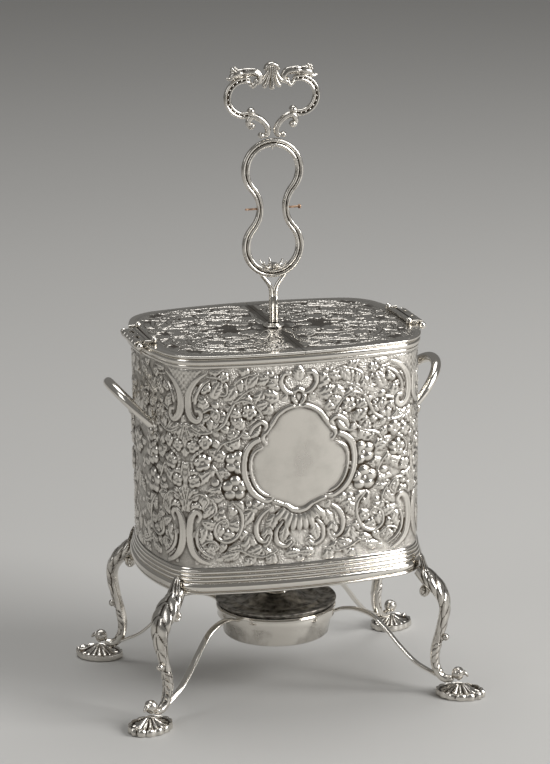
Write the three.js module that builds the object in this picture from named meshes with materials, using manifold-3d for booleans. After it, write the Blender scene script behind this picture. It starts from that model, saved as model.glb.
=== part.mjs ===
// A silver egg boiler on four cabriole legs. The oblong vessel has two half lids, hinged at its
// ends, that close round the stem of a lifting frame. The frame carries six egg rings below and an
// hourglass-shaped holder for a sand-glass and a scroll grip above. A spirit lamp sits in a ring
// that four straps carry from the feet.
// Millimetres, +Z up, origin on the ground under the middle of the vessel, long sides along X.

import * as THREE from 'three';
import { mergeVertices } from 'three/addons/utils/BufferGeometryUtils.js';
import Module from 'manifold-3d';

const wasm = await Module();
wasm.setup();

// Clearance between soldered neighbours and between pieces that turn in one another.
const GAP = 0.3;

// Vessel outline, measured at the outside of its wall.
const BODY = { halfLength: 75.2, halfDepth: 58.1, sideRadius: 223, endRadius: 111, cornerRadius: 10 };
const STEPS = { side: 7, end: 5, corner: 3 };
const WALL = 1.2;
const BODY_BOTTOM = 71;
const BODY_TOP = 197.9;
const FLOOR_Z = { bottom: 72, top: 73.2 };
const BASE = { bottom: 69.4, top: 83.6, reeds: 3, reedHeight: 2.1, torusOut: 3.6, torusHeight: 5.2 };
const RIM = { bottom: 192.6, bead: 1.1, torus: 2.0 };

// Chased scrolls and flowers stand this high above the wall, and root this deep in it.
const CHASING = { height: 1.0, root: 0.7, halfWidth: 2.3, shift: 3.0, endInset: 20 };

// Lids, their collar round the stem, and their end hinges.
const LID = { bottom: 198.2, top: 199.6, overhang: 2.2, holeRadius: 5.2 };
const COLLAR = { outer: 7.0, height: 1.7, step: 0.8, bevel: 0.9 };
const HINGE = { x: 78.7, z: 198.2, radius: 2.3, bore: 1.25, pin: 0.95, ball: 1.9, ballY: 18, halfLength: 14.5 };
const LEAF = { inner: 70.4, outer: 77.7, thickness: 1.0, reeds: 4, reedRise: 0.4, reedRoot: 0.3 };
const RIM_PLATE = { bottom: 193.2, top: 195.5, out: 1.6, armInner: 77.6, armOuter: 78.9, armBottom: 195 };

// Legs stand in upright planes through the corners, turned by this angle from the X axis.
const LEG_ANGLE = THREE.MathUtils.degToRad(32.5);
const LEG_ORIGIN = new THREE.Vector2(67.9, 47.5);
const LEG_REACH = 0.8;
const FOOT = { along: 14.4, across: 11.5, centre: 22.4, rim: 4.0, crown: 6.6 };

// Side handles spring from the end walls and rise outwards.
const HANDLE = { rootY: 22, rootZ: 155, reach: 27.5, tilt: 47, thick: 2.85, thin: 2.0 };

// Lifting frame.
const STEM = { reed: 1.15, spread: 1.0, bottom: 80.5, top: 216.5 };
const TIMER = { z: 264.4, lobe: 20.6, outer: 17.2, inner: 12.6, waistOuter: 8.9, waistInner: 5.3, depth: 1.5 };
const RACK = { pitchX: 42.8, pitchY: 24, inner: 20, outer: 21.2, bottom: 96, top: 99, tray: 79, trayTop: 80.2 };
const POST_RADIUS = 1.4;
const WAIST_PIN = { radius: 0.55, inner: 5.7, outer: 15.2 };
const WAIST_PIN_ENDS = { head: 1.15, headLength: 1.6, tabLength: 2.4, tabWidth: 1.1, tabHalf: 0.35 };
const GRIP = { centreX: 15.1, centreZ: 324.5, outer: 11.4, inner: 7.4, depth: 1.8 };

// Burner.
const RING = { inner: 31.2, outer: 32.4, bead: 33.1, bottom: 37, top: 43.4 };
const FONT = { topRadius: 30.6, footRadius: 29.2, bottom: 26.5, top: 43.4, wall: 1.1 };
const FLANGE = { radius: 33.4, bottom: 43.7, top: 46.6 };
const WICK_TUBE = { outer: 5.4, inner: 4.3, bottom: 49.7, top: 58 };
const STRAP = { width: 3.2, thickness: 1.1 };

const SILVER = 0xb9b2a6;
const CAST = 0xaba394;
const GREY_SILVER = 0x8d887e;
const COTTON = 0xe6ded0;

// Edges finer than this are merged away in a finished solid.
const FINEST = 0.02;

const group = new THREE.Group();

function add(name, geometry, color = SILVER, roughness = 0.25, metalness = 1) {
  const clean = toGeometry(toSolid(geometry).simplify(FINEST)).toNonIndexed();
  clean.computeVertexNormals();
  const mesh = new THREE.Mesh(clean, new THREE.MeshStandardMaterial({ color, roughness, metalness }));
  mesh.name = name;
  group.add(mesh);
  return mesh;
}

// Solid helpers: a closed geometry becomes a solid for joining and cutting, and comes back.
function weld(geometry) {
  const bare = new THREE.BufferGeometry();
  bare.setAttribute('position', geometry.getAttribute('position').clone());
  if (geometry.index) bare.setIndex(geometry.index.clone());
  return mergeVertices(bare, 1e-4);
}

function toSolid(geometry) {
  const welded = weld(geometry);
  const vertProperties = Float32Array.from(welded.getAttribute('position').array);
  const triVerts = Uint32Array.from(welded.index.array);
  return new wasm.Manifold(new wasm.Mesh({ numProp: 3, vertProperties, triVerts }));
}

function toGeometry(solid) {
  const mesh = solid.getMesh();
  const geometry = new THREE.BufferGeometry();
  geometry.setAttribute('position', new THREE.BufferAttribute(mesh.vertProperties, 3));
  geometry.setIndex(new THREE.BufferAttribute(mesh.triVerts, 1));
  return geometry;
}

function join(...geometries) {
  const solids = geometries.map(toSolid);
  return toGeometry(solids.reduce((a, b) => a.add(b)));
}

function cut(geometry, ...tools) {
  const solids = tools.map(toSolid);
  return toGeometry(solids.reduce((a, b) => a.subtract(b), toSolid(geometry)));
}

function common(geometry, tool) {
  return toGeometry(toSolid(geometry).intersect(toSolid(tool)));
}

function box(x0, x1, y0, y1, z0, z1) {
  const geometry = new THREE.BoxGeometry(x1 - x0, y1 - y0, z1 - z0);
  return geometry.translate((x0 + x1) / 2, (y0 + y1) / 2, (z0 + z1) / 2);
}

function cylinderY(radius, y0, y1, x, z, sides = 16) {
  const geometry = new THREE.CylinderGeometry(radius, radius, y1 - y0, sides);
  return geometry.translate(x, (y0 + y1) / 2, z);
}

function cylinderX(radius, x0, x1, y, z, sides = 10) {
  const geometry = new THREE.CylinderGeometry(radius, radius, x1 - x0, sides);
  return geometry.rotateZ(Math.PI / 2).translate((x0 + x1) / 2, y, z);
}

function cylinderZ(radius, z0, z1, x = 0, y = 0, sides = 24) {
  const geometry = new THREE.CylinderGeometry(radius, radius, z1 - z0, sides);
  return geometry.rotateX(Math.PI / 2).translate(x, y, (z0 + z1) / 2);
}

function ball(radius, x, y, z, sides = 7, rings = 4) {
  return new THREE.SphereGeometry(radius, sides, rings).translate(x, y, z);
}

// A round piece turned about Z from a closed profile of [radius, height] points.
function turned(profile, sides = 28) {
  const points = [...profile, profile[0]].map(([r, z]) => new THREE.Vector2(r, z));
  return outward(new THREE.LatheGeometry(points, sides).rotateX(Math.PI / 2));
}

// Turns a closed surface right side out when its signed volume is negative.
function outward(geometry) {
  const welded = weld(geometry);
  const p = welded.getAttribute('position');
  const index = welded.index.array;
  const a = new THREE.Vector3();
  const b = new THREE.Vector3();
  const c = new THREE.Vector3();
  let volume = 0;
  for (let i = 0; i < index.length; i += 3) {
    a.fromBufferAttribute(p, index[i]);
    b.fromBufferAttribute(p, index[i + 1]);
    c.fromBufferAttribute(p, index[i + 2]);
    volume += a.dot(b.cross(c));
  }
  if (volume < 0) {
    for (let i = 0; i < index.length; i += 3) {
      [index[i], index[i + 1]] = [index[i + 1], index[i]];
    }
  }
  return welded;
}

// A skin over rings of equal length, each a list of points. An open loft is closed by flat caps
// fanned from each end ring's middle, and a looped one joins its last ring to its first.
function loft(rings, looped = false) {
  const count = rings[0].length;
  const positions = rings.flat().flatMap((q) => [q.x, q.y, q.z]);
  const index = [];
  const spans = looped ? rings.length : rings.length - 1;
  for (let i = 0; i < spans; i += 1) {
    const here = i * count;
    const next = ((i + 1) % rings.length) * count;
    for (let j = 0; j < count; j += 1) {
      const k = (j + 1) % count;
      index.push(here + j, here + k, next + k, here + j, next + k, next + j);
    }
  }
  if (!looped) {
    for (const [ring, start, turn] of [[rings[0], 0, 1], [rings.at(-1), (rings.length - 1) * count, 0]]) {
      const middle = ring.reduce((sum, q) => sum.add(q), new THREE.Vector3()).divideScalar(count);
      const m = positions.length / 3;
      positions.push(middle.x, middle.y, middle.z);
      for (let j = 0; j < count; j += 1) {
        const k = (j + 1) % count;
        if (turn) index.push(m, start + k, start + j);
        else index.push(m, start + j, start + k);
      }
    }
  }
  const geometry = new THREE.BufferGeometry();
  geometry.setAttribute('position', new THREE.Float32BufferAttribute(positions, 3));
  geometry.setIndex(index);
  return outward(geometry);
}

// A bar bent along a path that lies in one plane. The path gives [u, v, half thickness in the
// plane, half width across it], smoothed by a spline, and place turns (u, v, across) into a point.
// Its section is round at a power of 1 and squarer below that, down to a flat bar's at 0.
function bentBar(path, place, steps, sides = 8, power = 1) {
  const shift = power < 1 ? 0.5 : 0;
  const line = new THREE.CatmullRomCurve3(path.map(([u, v]) => new THREE.Vector3(u, v, 0)));
  const size = new THREE.CatmullRomCurve3(path.map(([, , t, w], i) => new THREE.Vector3(t, w, i)));
  const rings = [];
  for (let i = 0; i <= steps; i += 1) {
    const at = i / steps;
    const centre = line.getPoint(at);
    const along = line.getTangent(at);
    const half = size.getPoint(at);
    const ring = [];
    for (let j = 0; j < sides; j += 1) {
      const angle = ((j + shift) / sides) * 2 * Math.PI;
      const shape = (value) => Math.sign(value) * Math.abs(value) ** power;
      const inPlane = half.x * shape(Math.cos(angle));
      const across = half.y * shape(Math.sin(angle));
      ring.push(place(centre.x - along.y * inPlane, centre.y + along.x * inPlane, across));
    }
    rings.push(ring);
  }
  return loft(rings);
}

// Vessel outline: bowed long sides and ends, joined by corner arcs that touch both. The centre of a
// corner arc lies on a circle about the side's centre and on one about the end's.
function cornerCentre() {
  const { halfLength: a, halfDepth: b, sideRadius: s, endRadius: e, cornerRadius: r } = BODY;
  let x = a - r;
  let y = b - r;
  for (let i = 0; i < 40; i += 1) {
    const f = x * x + (y + s - b) ** 2 - (s - r) ** 2;
    const g = (x + e - a) ** 2 + y * y - (e - r) ** 2;
    const det = 4 * (x * y - (y + s - b) * (x + e - a));
    x -= (2 * y * f - 2 * (y + s - b) * g) / det;
    y -= (2 * x * g - 2 * (x + e - a) * f) / det;
  }
  return new THREE.Vector2(x, y);
}

const CORNER = cornerCentre();
const SIDE_HALF_ANGLE = Math.atan2(CORNER.x, CORNER.y + BODY.sideRadius - BODY.halfDepth);
const END_HALF_ANGLE = Math.atan2(CORNER.y, CORNER.x + BODY.endRadius - BODY.halfLength);

function outline(offset) {
  const { halfLength, halfDepth, sideRadius, endRadius, cornerRadius } = BODY;
  const quarter = Math.PI / 2;
  const half = [];
  const arc = (x, y, radius, from, to, steps) => {
    for (let i = 0; i < steps; i += 1) {
      const angle = from + ((to - from) * i) / steps;
      const r = radius + offset;
      half.push(new THREE.Vector2(x + r * Math.cos(angle), y + r * Math.sin(angle)));
    }
  };
  const t = SIDE_HALF_ANGLE;
  arc(0, sideRadius - halfDepth, sideRadius, -quarter - t, -quarter + t, STEPS.side);
  arc(CORNER.x, -CORNER.y, cornerRadius, -quarter + t, -END_HALF_ANGLE, STEPS.corner);
  arc(halfLength - endRadius, 0, endRadius, -END_HALF_ANGLE, END_HALF_ANGLE, STEPS.end);
  arc(CORNER.x, CORNER.y, cornerRadius, END_HALF_ANGLE, quarter - t, STEPS.corner);
  return [...half, ...half.map((q) => q.clone().negate())];
}

// A moulding or wall run round the outline from a closed profile of [offset, height] points.
function outlineBand(profile) {
  const lines = profile.map(([offset]) => outline(offset));
  const rings = lines[0].map((_, k) => profile.map(([, z], i) => {
    const q = lines[i][k];
    return new THREE.Vector3(q.x, q.y, z);
  }));
  return loft(rings, true);
}

// A plate filling the outline, from [offset, height] levels stacked upwards.
function outlinePlate(levels) {
  return loft(levels.map(([offset, z]) => outline(offset).map((q) => new THREE.Vector3(q.x, q.y, z))));
}

// Points of a half-round moulding from one [offset, height] to another, bulging outwards.
function halfRound(offset, z0, z1, out, steps) {
  const points = [];
  for (let i = 0; i <= steps; i += 1) {
    const angle = (Math.PI * i) / steps;
    const z = (z0 + z1) / 2 - (Math.cos(angle) * (z1 - z0)) / 2;
    points.push([offset + out * Math.sin(angle), z]);
  }
  return points;
}

// The chased design in half a long wall, as [distance from its middle line, height]. The ends carry
// the same corner scrolls, moved in, about one flower.
const CARTOUCHE_FRAME = [[0, 170.8], [8, 166.8], [11.5, 160], [20.5, 156.2], [29.2, 148.2], [30.8, 138],
  [26, 126], [14.8, 121.2], [0, 117.2]];
const TOP_SCROLL = [[35.5, 186.6], [44, 189.2], [53, 185], [57.2, 176], [53.5, 168.5]];
const BOTTOM_SCROLL = [[53, 116.5], [58.4, 111], [57, 99.5], [48, 91.3], [36, 88.2], [25, 90]];
const FLOWER = [38.5, 140, 7.0];
const END_FLOWER = [0, 143, 7.0];

// A wall is an arc that bows out to reach on the side that faces turn. A place on it is a distance
// along the wall from its middle line, a height, and an offset outwards.
function wallPlace(radius, reach, turn) {
  const middle = reach - radius;
  return (s, z, offset) => {
    const angle = turn + s / radius;
    const r = radius + offset;
    const x = middle * Math.cos(turn) + r * Math.cos(angle);
    const y = middle * Math.sin(turn) + r * Math.sin(angle);
    return new THREE.Vector3(x, y, z);
  };
}

// A three-sided ridge along a path on a wall. An open one narrows and sinks towards its ends.
function ridge(points, place, closed = false) {
  const { height, root, halfWidth } = CHASING;
  const line = new THREE.CatmullRomCurve3(points.map(([s, z]) => new THREE.Vector3(s, z, 0)), closed);
  const steps = closed ? 16 : points.length - 1;
  const rings = [];
  for (let i = 0; i < steps + (closed ? 0 : 1); i += 1) {
    const centre = line.getPointAt(i / steps);
    const along = line.getTangentAt(i / steps);
    const share = closed ? 1 : 0.45 + 0.55 * Math.sin((Math.PI * i) / steps);
    const section = [[-halfWidth * share, -root], [0, height * share], [halfWidth * share, -root]];
    rings.push(section.map(([n, offset]) => place(centre.x - along.y * n, centre.y + along.x * n, offset)));
  }
  return loft(rings, closed);
}

// A low boss with six sides, for a flower.
function boss([s, z, radius], place) {
  const rings = [[radius, -CHASING.root], [radius * 0.45, CHASING.height]].map(([r, offset]) => {
    const ring = [];
    for (let j = 0; j < 6; j += 1) {
      const angle = (j / 6) * 2 * Math.PI;
      ring.push(place(s + r * Math.cos(angle), z + r * Math.sin(angle), offset));
    }
    return ring;
  });
  return loft(rings);
}

function longWallOrnament(turn) {
  const place = wallPlace(BODY.sideRadius, BODY.halfDepth, turn);
  const run = BODY.sideRadius * SIDE_HALF_ANGLE;
  const at = (s, z) => [s - CHASING.shift * (1 - (s / run) ** 2), z];
  const left = CARTOUCHE_FRAME.slice(1, -1).reverse().map(([u, z]) => at(-u, z));
  const pieces = [ridge([...CARTOUCHE_FRAME.map(([u, z]) => at(u, z)), ...left], place, true)];
  for (const half of [-1, 1]) {
    for (const path of [TOP_SCROLL, BOTTOM_SCROLL]) {
      pieces.push(ridge(path.map(([u, z]) => at(half * u, z)), place));
    }
    const [u, z, radius] = FLOWER;
    pieces.push(boss([...at(half * u, z), radius], place));
  }
  return pieces;
}

function endWallOrnament(turn) {
  const place = wallPlace(BODY.endRadius, BODY.halfLength, turn);
  const pieces = [boss(END_FLOWER, place)];
  for (const half of [-1, 1]) {
    for (const path of [TOP_SCROLL, BOTTOM_SCROLL]) {
      pieces.push(ridge(path.map(([u, z]) => [half * (u - CHASING.endInset), z]), place));
    }
  }
  return pieces;
}

function addVessel() {
  const wall = outlineBand([[0, BODY_BOTTOM], [0, BODY_TOP], [-WALL, BODY_TOP], [-WALL, BODY_BOTTOM]]);
  const quarter = Math.PI / 2;
  const long = [-quarter, quarter].flatMap(longWallOrnament);
  const ends = [0, 2 * quarter].flatMap(endWallOrnament);
  add('body_shell', join(wall, ...long, ...ends));
  const inside = -WALL - GAP;
  add('bottom_plate', outlinePlate([[inside, FLOOR_Z.bottom], [inside, FLOOR_Z.top]]), GREY_SILVER, 0.4);
  add('base_moulding', outlineBand(baseProfile(GAP)));
  add('rim_moulding', rimMoulding());
}

// Base moulding from its small bottom bead up: bead, large half round, then three reeds.
function baseProfile(inner) {
  const { bottom, top, reeds, reedHeight, torusOut, torusHeight } = BASE;
  const beadTop = bottom + 1.6;
  const torusTop = beadTop + torusHeight;
  const points = [...halfRound(1.6, bottom, beadTop, 0.9, 2)];
  points.push(...halfRound(1.4, beadTop, torusTop, torusOut - 1.4, 4).slice(1));
  for (let i = 0; i < reeds; i += 1) {
    const z0 = torusTop + i * reedHeight;
    points.push(...halfRound(1.7 - i * 0.5, z0, z0 + reedHeight, 0.8, 2).slice(i ? 1 : 0));
  }
  points.push([0.6, top], [inner, top], [inner, bottom]);
  return points;
}

function rimProfile() {
  const groove = RIM.bottom + 1.8;
  const points = [[GAP, RIM.bottom], ...halfRound(0.7, RIM.bottom, groove, RIM.bead - 0.4, 2)];
  points.push(...halfRound(0.7, groove, BODY_TOP, RIM.torus - 0.7, 4).slice(1), [GAP, BODY_TOP]);
  return points;
}

// The rim moulding is notched at both ends for the hinge barrels.
function rimMoulding() {
  const reach = HINGE.halfLength + 2 * GAP;
  const notch = (side) => cylinderY(HINGE.radius + GAP, -reach, reach, side * HINGE.x, HINGE.z, 20);
  return cut(outlineBand(rimProfile()), notch(-1), notch(1));
}

// One half lid for the side given by -1 or 1, cut at the seam, round the stem and at its hinge.
function addLid(side, name) {
  const { bottom, top, overhang } = LID;
  const whole = outlinePlate([
    [overhang - 0.3, bottom], [overhang, bottom + 0.35], [overhang, top - 0.45], [overhang - 0.5, top],
  ]);
  const half = side > 0 ? box(GAP / 2, 100, -80, 80, 190, 210) : box(-100, -GAP / 2, -80, 80, 190, 210);
  const hole = cylinderZ(LID.holeRadius, 190, 210);
  const reach = HINGE.halfLength + 2 * GAP;
  const barrelRoom = cylinderY(HINGE.radius + GAP, -reach, reach, side * HINGE.x, HINGE.z, 20);
  add(name, cut(common(whole, half), hole, barrelRoom));
}

function addCollar(side, name) {
  const z0 = LID.top + GAP;
  const z1 = z0 + COLLAR.height;
  const inner = LID.holeRadius;
  const ring = turned([
    [inner, z0], [COLLAR.outer, z0], [COLLAR.outer - 0.1, z0 + COLLAR.step], [COLLAR.outer - COLLAR.bevel, z1],
    [inner, z1],
  ], 20);
  const half = side > 0 ? box(GAP / 2, 20, -20, 20, 190, 210) : box(-20, -GAP / 2, -20, 20, 190, 210);
  add(name, common(ring, half));
}

// Knuckles alternate along the hinge line: three on the lid's leaf and two on the rim's plate.
const KNUCKLES = 5;
const LID_KNUCKLES = [0, 2, 4];
const RIM_KNUCKLES = [1, 3];
function knuckleSpan(i) {
  const pitch = (2 * HINGE.halfLength + GAP) / KNUCKLES;
  const y0 = -HINGE.halfLength + i * pitch;
  return [y0, y0 + pitch - GAP];
}

function bore(side) {
  return cylinderY(HINGE.bore, -30, 30, side * HINGE.x, HINGE.z, 8);
}

function knuckle(side, span) {
  return cylinderY(HINGE.radius, span[0], span[1], side * HINGE.x, HINGE.z, 12);
}

function mirrorBox(side, x0, x1, y0, y1, z0, z1) {
  return side > 0 ? box(x0, x1, y0, y1, z0, z1) : box(-x1, -x0, y0, y1, z0, z1);
}

// The lid's leaf: a reeded plate on the lid, carried over its edge to three knuckles.
function lidLeaf(side) {
  const z0 = LID.top + GAP;
  const width = LEAF.outer - LEAF.inner;
  const shape = new THREE.Shape();
  shape.moveTo(0, 0);
  shape.lineTo(width, 0);
  shape.lineTo(width, LEAF.thickness);
  const pitch = width / LEAF.reeds;
  for (let i = LEAF.reeds - 1; i >= 0; i -= 1) {
    for (let k = 1; k <= 3; k += 1) {
      const x = (i + 1 - k / 3) * pitch;
      const rise = k === 3 ? 0 : LEAF.reedRise;
      shape.lineTo(x, LEAF.thickness - LEAF.reedRoot + rise);
    }
  }
  const plate = new THREE.ExtrudeGeometry(shape, { depth: 2 * HINGE.halfLength, bevelEnabled: false });
  plate.rotateX(Math.PI / 2).translate(LEAF.inner, HINGE.halfLength, z0);
  if (side < 0) plate.rotateZ(Math.PI);
  const room = RIM_KNUCKLES.map((i) => {
    const [y0, y1] = knuckleSpan(i);
    return cylinderY(HINGE.radius + GAP, y0 - GAP, y1 + GAP, side * HINGE.x, HINGE.z, 12);
  });
  const pieces = [cut(plate, ...room)];
  for (const i of LID_KNUCKLES) {
    const span = knuckleSpan(i);
    const armTop = z0 + LEAF.thickness - LEAF.reedRoot;
    pieces.push(mirrorBox(side, LEAF.outer - 1, HINGE.x, span[0], span[1], z0, armTop));
    pieces.push(knuckle(side, span));
  }
  return cut(join(...pieces), bore(side));
}

// The rim's plate: a strip that follows the end of the rim and carries the other two knuckles.
function rimLeaf(side) {
  const inner = RIM.torus + GAP;
  const outer = RIM.torus + RIM_PLATE.out;
  const { bottom, top, armInner, armOuter, armBottom } = RIM_PLATE;
  const strip = outlineBand([[inner, bottom], [outer, bottom], [outer, top], [inner, top]]);
  const end = mirrorBox(side, 60, 90, -HINGE.halfLength, HINGE.halfLength, 180, 200);
  const pieces = [common(strip, end)];
  for (const i of RIM_KNUCKLES) {
    const span = knuckleSpan(i);
    pieces.push(mirrorBox(side, armInner, armOuter, span[0], span[1], armBottom, HINGE.z));
    pieces.push(knuckle(side, span));
  }
  const rimRoom = outlineBand([[-2, 180], [inner - 0.02, 180], [inner - 0.02, 200], [-2, 200]]);
  return cut(join(...pieces), rimRoom, bore(side));
}

function hingePin(side) {
  const x = side * HINGE.x;
  const shaft = cylinderY(HINGE.pin, -HINGE.ballY, HINGE.ballY, x, HINGE.z, 8);
  const ends = [-1, 1].map((end) => ball(HINGE.ball, x, end * HINGE.ballY, HINGE.z));
  return join(shaft, ...ends);
}

// Legs: an S in the leg's plane, wide at the knee, with a scroll under the knee, a small knob on the
// outer side and a volute at the toe. Points are [outward, height, half thickness, half width].
const LEG_PATH = [
  [-1.8, 70.2, 3.6, 3.6],
  [5, 65, 4.4, 5.4],
  [11.2, 60.6, 4.1, 6.0],
  [15.6, 55.3, 3.7, 5.6],
  [16.9, 48.5, 3.3, 4.6],
  [15.3, 40.5, 3.1, 3.6],
  [13.3, 34, 2.9, 2.9],
  [11.6, 28.4, 3.1, 3.0],
  [10.3, 22.5, 3.0, 3.0],
  [10.8, 16.3, 2.8, 2.8],
  [13.5, 11.3, 2.6, 2.7],
  [18.2, 8.6, 2.3, 2.6],
  [24, 9.2, 1.8, 2.6],
];
const TOE = { out: 26.6, z: 12.9, radius: 4.1, halfWidth: 3.4 };
const KNEE_SCROLL = { out: 2.2, z: 59, radius: 3.4, halfWidth: 3.4 };
const KNOB = { out: 17.6, z: 32.4, radius: 1.35 };

function legPlace(sx, sy) {
  return (out, z, across) => {
    const reach = out * LEG_REACH;
    const x = LEG_ORIGIN.x + reach * Math.cos(LEG_ANGLE) - across * Math.sin(LEG_ANGLE);
    const y = LEG_ORIGIN.y + reach * Math.sin(LEG_ANGLE) + across * Math.cos(LEG_ANGLE);
    return new THREE.Vector3(sx * x, sy * y, z);
  };
}

// A scroll end: a barrel with rounded ends, its axis across the leg.
function scrollEnd(place, { out, z, radius, halfWidth }, grow = 0) {
  const rings = [];
  for (const [share, size] of [[-1, 0.6], [-0.6, 0.96], [0.6, 0.96], [1, 0.6]]) {
    const ring = [];
    for (let j = 0; j < 8; j += 1) {
      const angle = (j / 8) * 2 * Math.PI;
      const r = (radius + grow) * size;
      ring.push(place(out + (r * Math.cos(angle)) / LEG_REACH, z + r * Math.sin(angle),
        share * (halfWidth + grow)));
    }
    rings.push(ring);
  }
  return loft(rings);
}

function legSolid(place, grow = 0) {
  const path = LEG_PATH.map(([out, z, t, w]) => [out, z, t + grow, w + grow]);
  return join(bentBar(path, place, 14, 7), scrollEnd(place, TOE, grow), scrollEnd(place, KNEE_SCROLL, grow));
}

function addLeg(sx, sy, name) {
  const place = legPlace(sx, sy);
  const at = place(KNOB.out, KNOB.z, 0);
  const base = place(KNOB.out - 2.6, KNOB.z, 0);
  const stalk = new THREE.LineCurve3(base, at);
  const circle = new THREE.Shape().absarc(0, 0, 1.0, 0, 2 * Math.PI);
  const neck = new THREE.ExtrudeGeometry(circle, { steps: 1, extrudePath: stalk, curveSegments: 3 });
  const knob = join(ball(KNOB.radius, at.x, at.y, at.z, 6, 5), neck);
  const bead = 2.5 + GAP;
  const torus = BASE.torusOut + GAP;
  const shoulder = BASE.bottom + 1.2;
  const room = outlineBand([[bead, 66], [bead, shoulder], [torus, shoulder + 1], [torus, 80], [-8, 80], [-8, 66]]);
  const leg = cut(join(legSolid(place), knob), room);
  add(name, leg, CAST, 0.3);
}

// Feet: an oval shell with ribs that fan outwards, a raised rim and a flat underside, hollowed for
// the end of the leg that stands on it.
function footSolid(place) {
  const sectors = 18;
  const levels = [[1, 0, 0], [1, 1.6, 0.05], [0.98, FOOT.rim, 0.07], [0.78, FOOT.rim - 0.6, 0.03],
    [0.5, FOOT.rim + 1.0, 0.02], [0.2, FOOT.crown, 0]];
  const rings = levels.map(([share, z, scallop]) => {
    const ring = [];
    for (let j = 0; j < sectors; j += 1) {
      const angle = (j / sectors) * 2 * Math.PI;
      const wave = scallop * Math.abs(Math.cos(angle * 7)) * Math.max(0, Math.cos(angle / 2));
      const size = share - scallop + wave;
      const out = FOOT.along * size * Math.cos(angle);
      const across = FOOT.across * size * Math.sin(angle);
      ring.push(place(FOOT.centre / LEG_REACH + out / LEG_REACH, z, across));
    }
    return ring;
  });
  return loft(rings);
}

function addFoot(sx, sy, name) {
  const place = legPlace(sx, sy);
  add(name, cut(footSolid(place), legSolid(place, GAP), strapSolid(sx, sy, GAP)), CAST, 0.3);
}

// Straps: flat bars from the burner ring out and down to the leg's heel. They run straight out from
// the middle, so their plane is not quite the leg's own.
const STRAP_PATH = [[33.4, 41], [39, 43.1], [47, 43.4], [56, 40.4], [64, 33.2], [72, 24.2], [81, 16], [92.6, 10.2]];

function strapSolid(sx, sy, grow = 0) {
  const toe = legPlace(1, 1)(12, 0, 0);
  const angle = Math.atan2(toe.y, toe.x);
  const place = (out, z, across) => new THREE.Vector3(
    sx * (out * Math.cos(angle) - across * Math.sin(angle)),
    sy * (out * Math.sin(angle) + across * Math.cos(angle)),
    z,
  );
  const path = STRAP_PATH.map(([out, z]) => [out, z, STRAP.thickness / 2 + grow, STRAP.width / 2 + grow]);
  return bentBar(path, place, 11, 4, 0);
}

function addStrap(sx, sy, name) {
  const ringRoom = cylinderZ(RING.bead + GAP, 30, 50, 0, 0, 64);
  const leg = legSolid(legPlace(sx, sy), GAP);
  add(name, cut(strapSolid(sx, sy), ringRoom, leg), SILVER, 0.25);
}

// Side handles: a tapered round wire, thickest at the top of its loop, with a leaf at each root.
function handleSolid(side) {
  const tilt = THREE.MathUtils.degToRad(HANDLE.tilt);
  const rootX = BODY.halfLength - HANDLE.rootY ** 2 / (2 * BODY.endRadius) - 2;
  const turn = (t) => {
    const angle = (t * Math.PI) / 2;
    const out = (HANDLE.reach + 2) * Math.cos(angle) ** 0.85;
    const y = HANDLE.rootY * Math.sin(angle);
    return new THREE.Vector3(side * (rootX + out * Math.cos(tilt)), y, HANDLE.rootZ - 2 + out * Math.sin(tilt));
  };
  const count = 16;
  const points = Array.from({ length: count + 1 }, (_, i) => turn((2 * i) / count - 1));
  const curve = new THREE.CatmullRomCurve3(points);
  const normal = new THREE.Vector3(-side * Math.sin(tilt), 0, Math.cos(tilt));
  const steps = 14;
  const rings = [];
  for (let i = 0; i <= steps; i += 1) {
    const centre = curve.getPointAt(i / steps);
    const along = curve.getTangentAt(i / steps);
    const across = along.clone().cross(normal).normalize();
    const radius = HANDLE.thin + (HANDLE.thick - HANDLE.thin) * Math.sin((Math.PI * i) / steps);
    const ring = [];
    for (let j = 0; j < 8; j += 1) {
      const angle = (j / 8) * 2 * Math.PI;
      ring.push(centre.clone().addScaledVector(normal, radius * Math.cos(angle))
        .addScaledVector(across, radius * Math.sin(angle)));
    }
    rings.push(ring);
  }
  return loft(rings);
}

function addHandle(side, name) {
  const room = outlineBand([[-12, 120], [1.9 + GAP, 120], [1.9 + GAP, 190], [-12, 190]]);
  add(name, cut(handleSolid(side), room), SILVER, 0.18);
}

// A leaf on the end wall under a handle root, pointed below and rounded above.
function addHandleLeaf(side, end, name) {
  const shape = new THREE.Shape();
  shape.moveTo(0, -16);
  shape.bezierCurveTo(1.6, -12, 4.4, -9, 3.8, -3);
  shape.bezierCurveTo(3.6, 1.5, 2.4, 4, 0, 4.6);
  shape.bezierCurveTo(-2.4, 4, -3.6, 1.5, -3.8, -3);
  shape.bezierCurveTo(-4.4, -9, -1.6, -12, 0, -16);
  const leaf = new THREE.ExtrudeGeometry(shape, { depth: 4, bevelEnabled: false, curveSegments: 5 });
  leaf.rotateX(Math.PI / 2).rotateZ(Math.PI / 2);
  leaf.translate(BODY.halfLength - 4, end * HANDLE.rootY, HANDLE.rootZ);
  const skin = outlineBand([[GAP, 120], [1.9, 120], [1.9, 180], [GAP, 180]]);
  const solid = common(leaf, skin);
  if (side < 0) solid.rotateZ(Math.PI);
  add(name, solid, CAST, 0.3);
}

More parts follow.
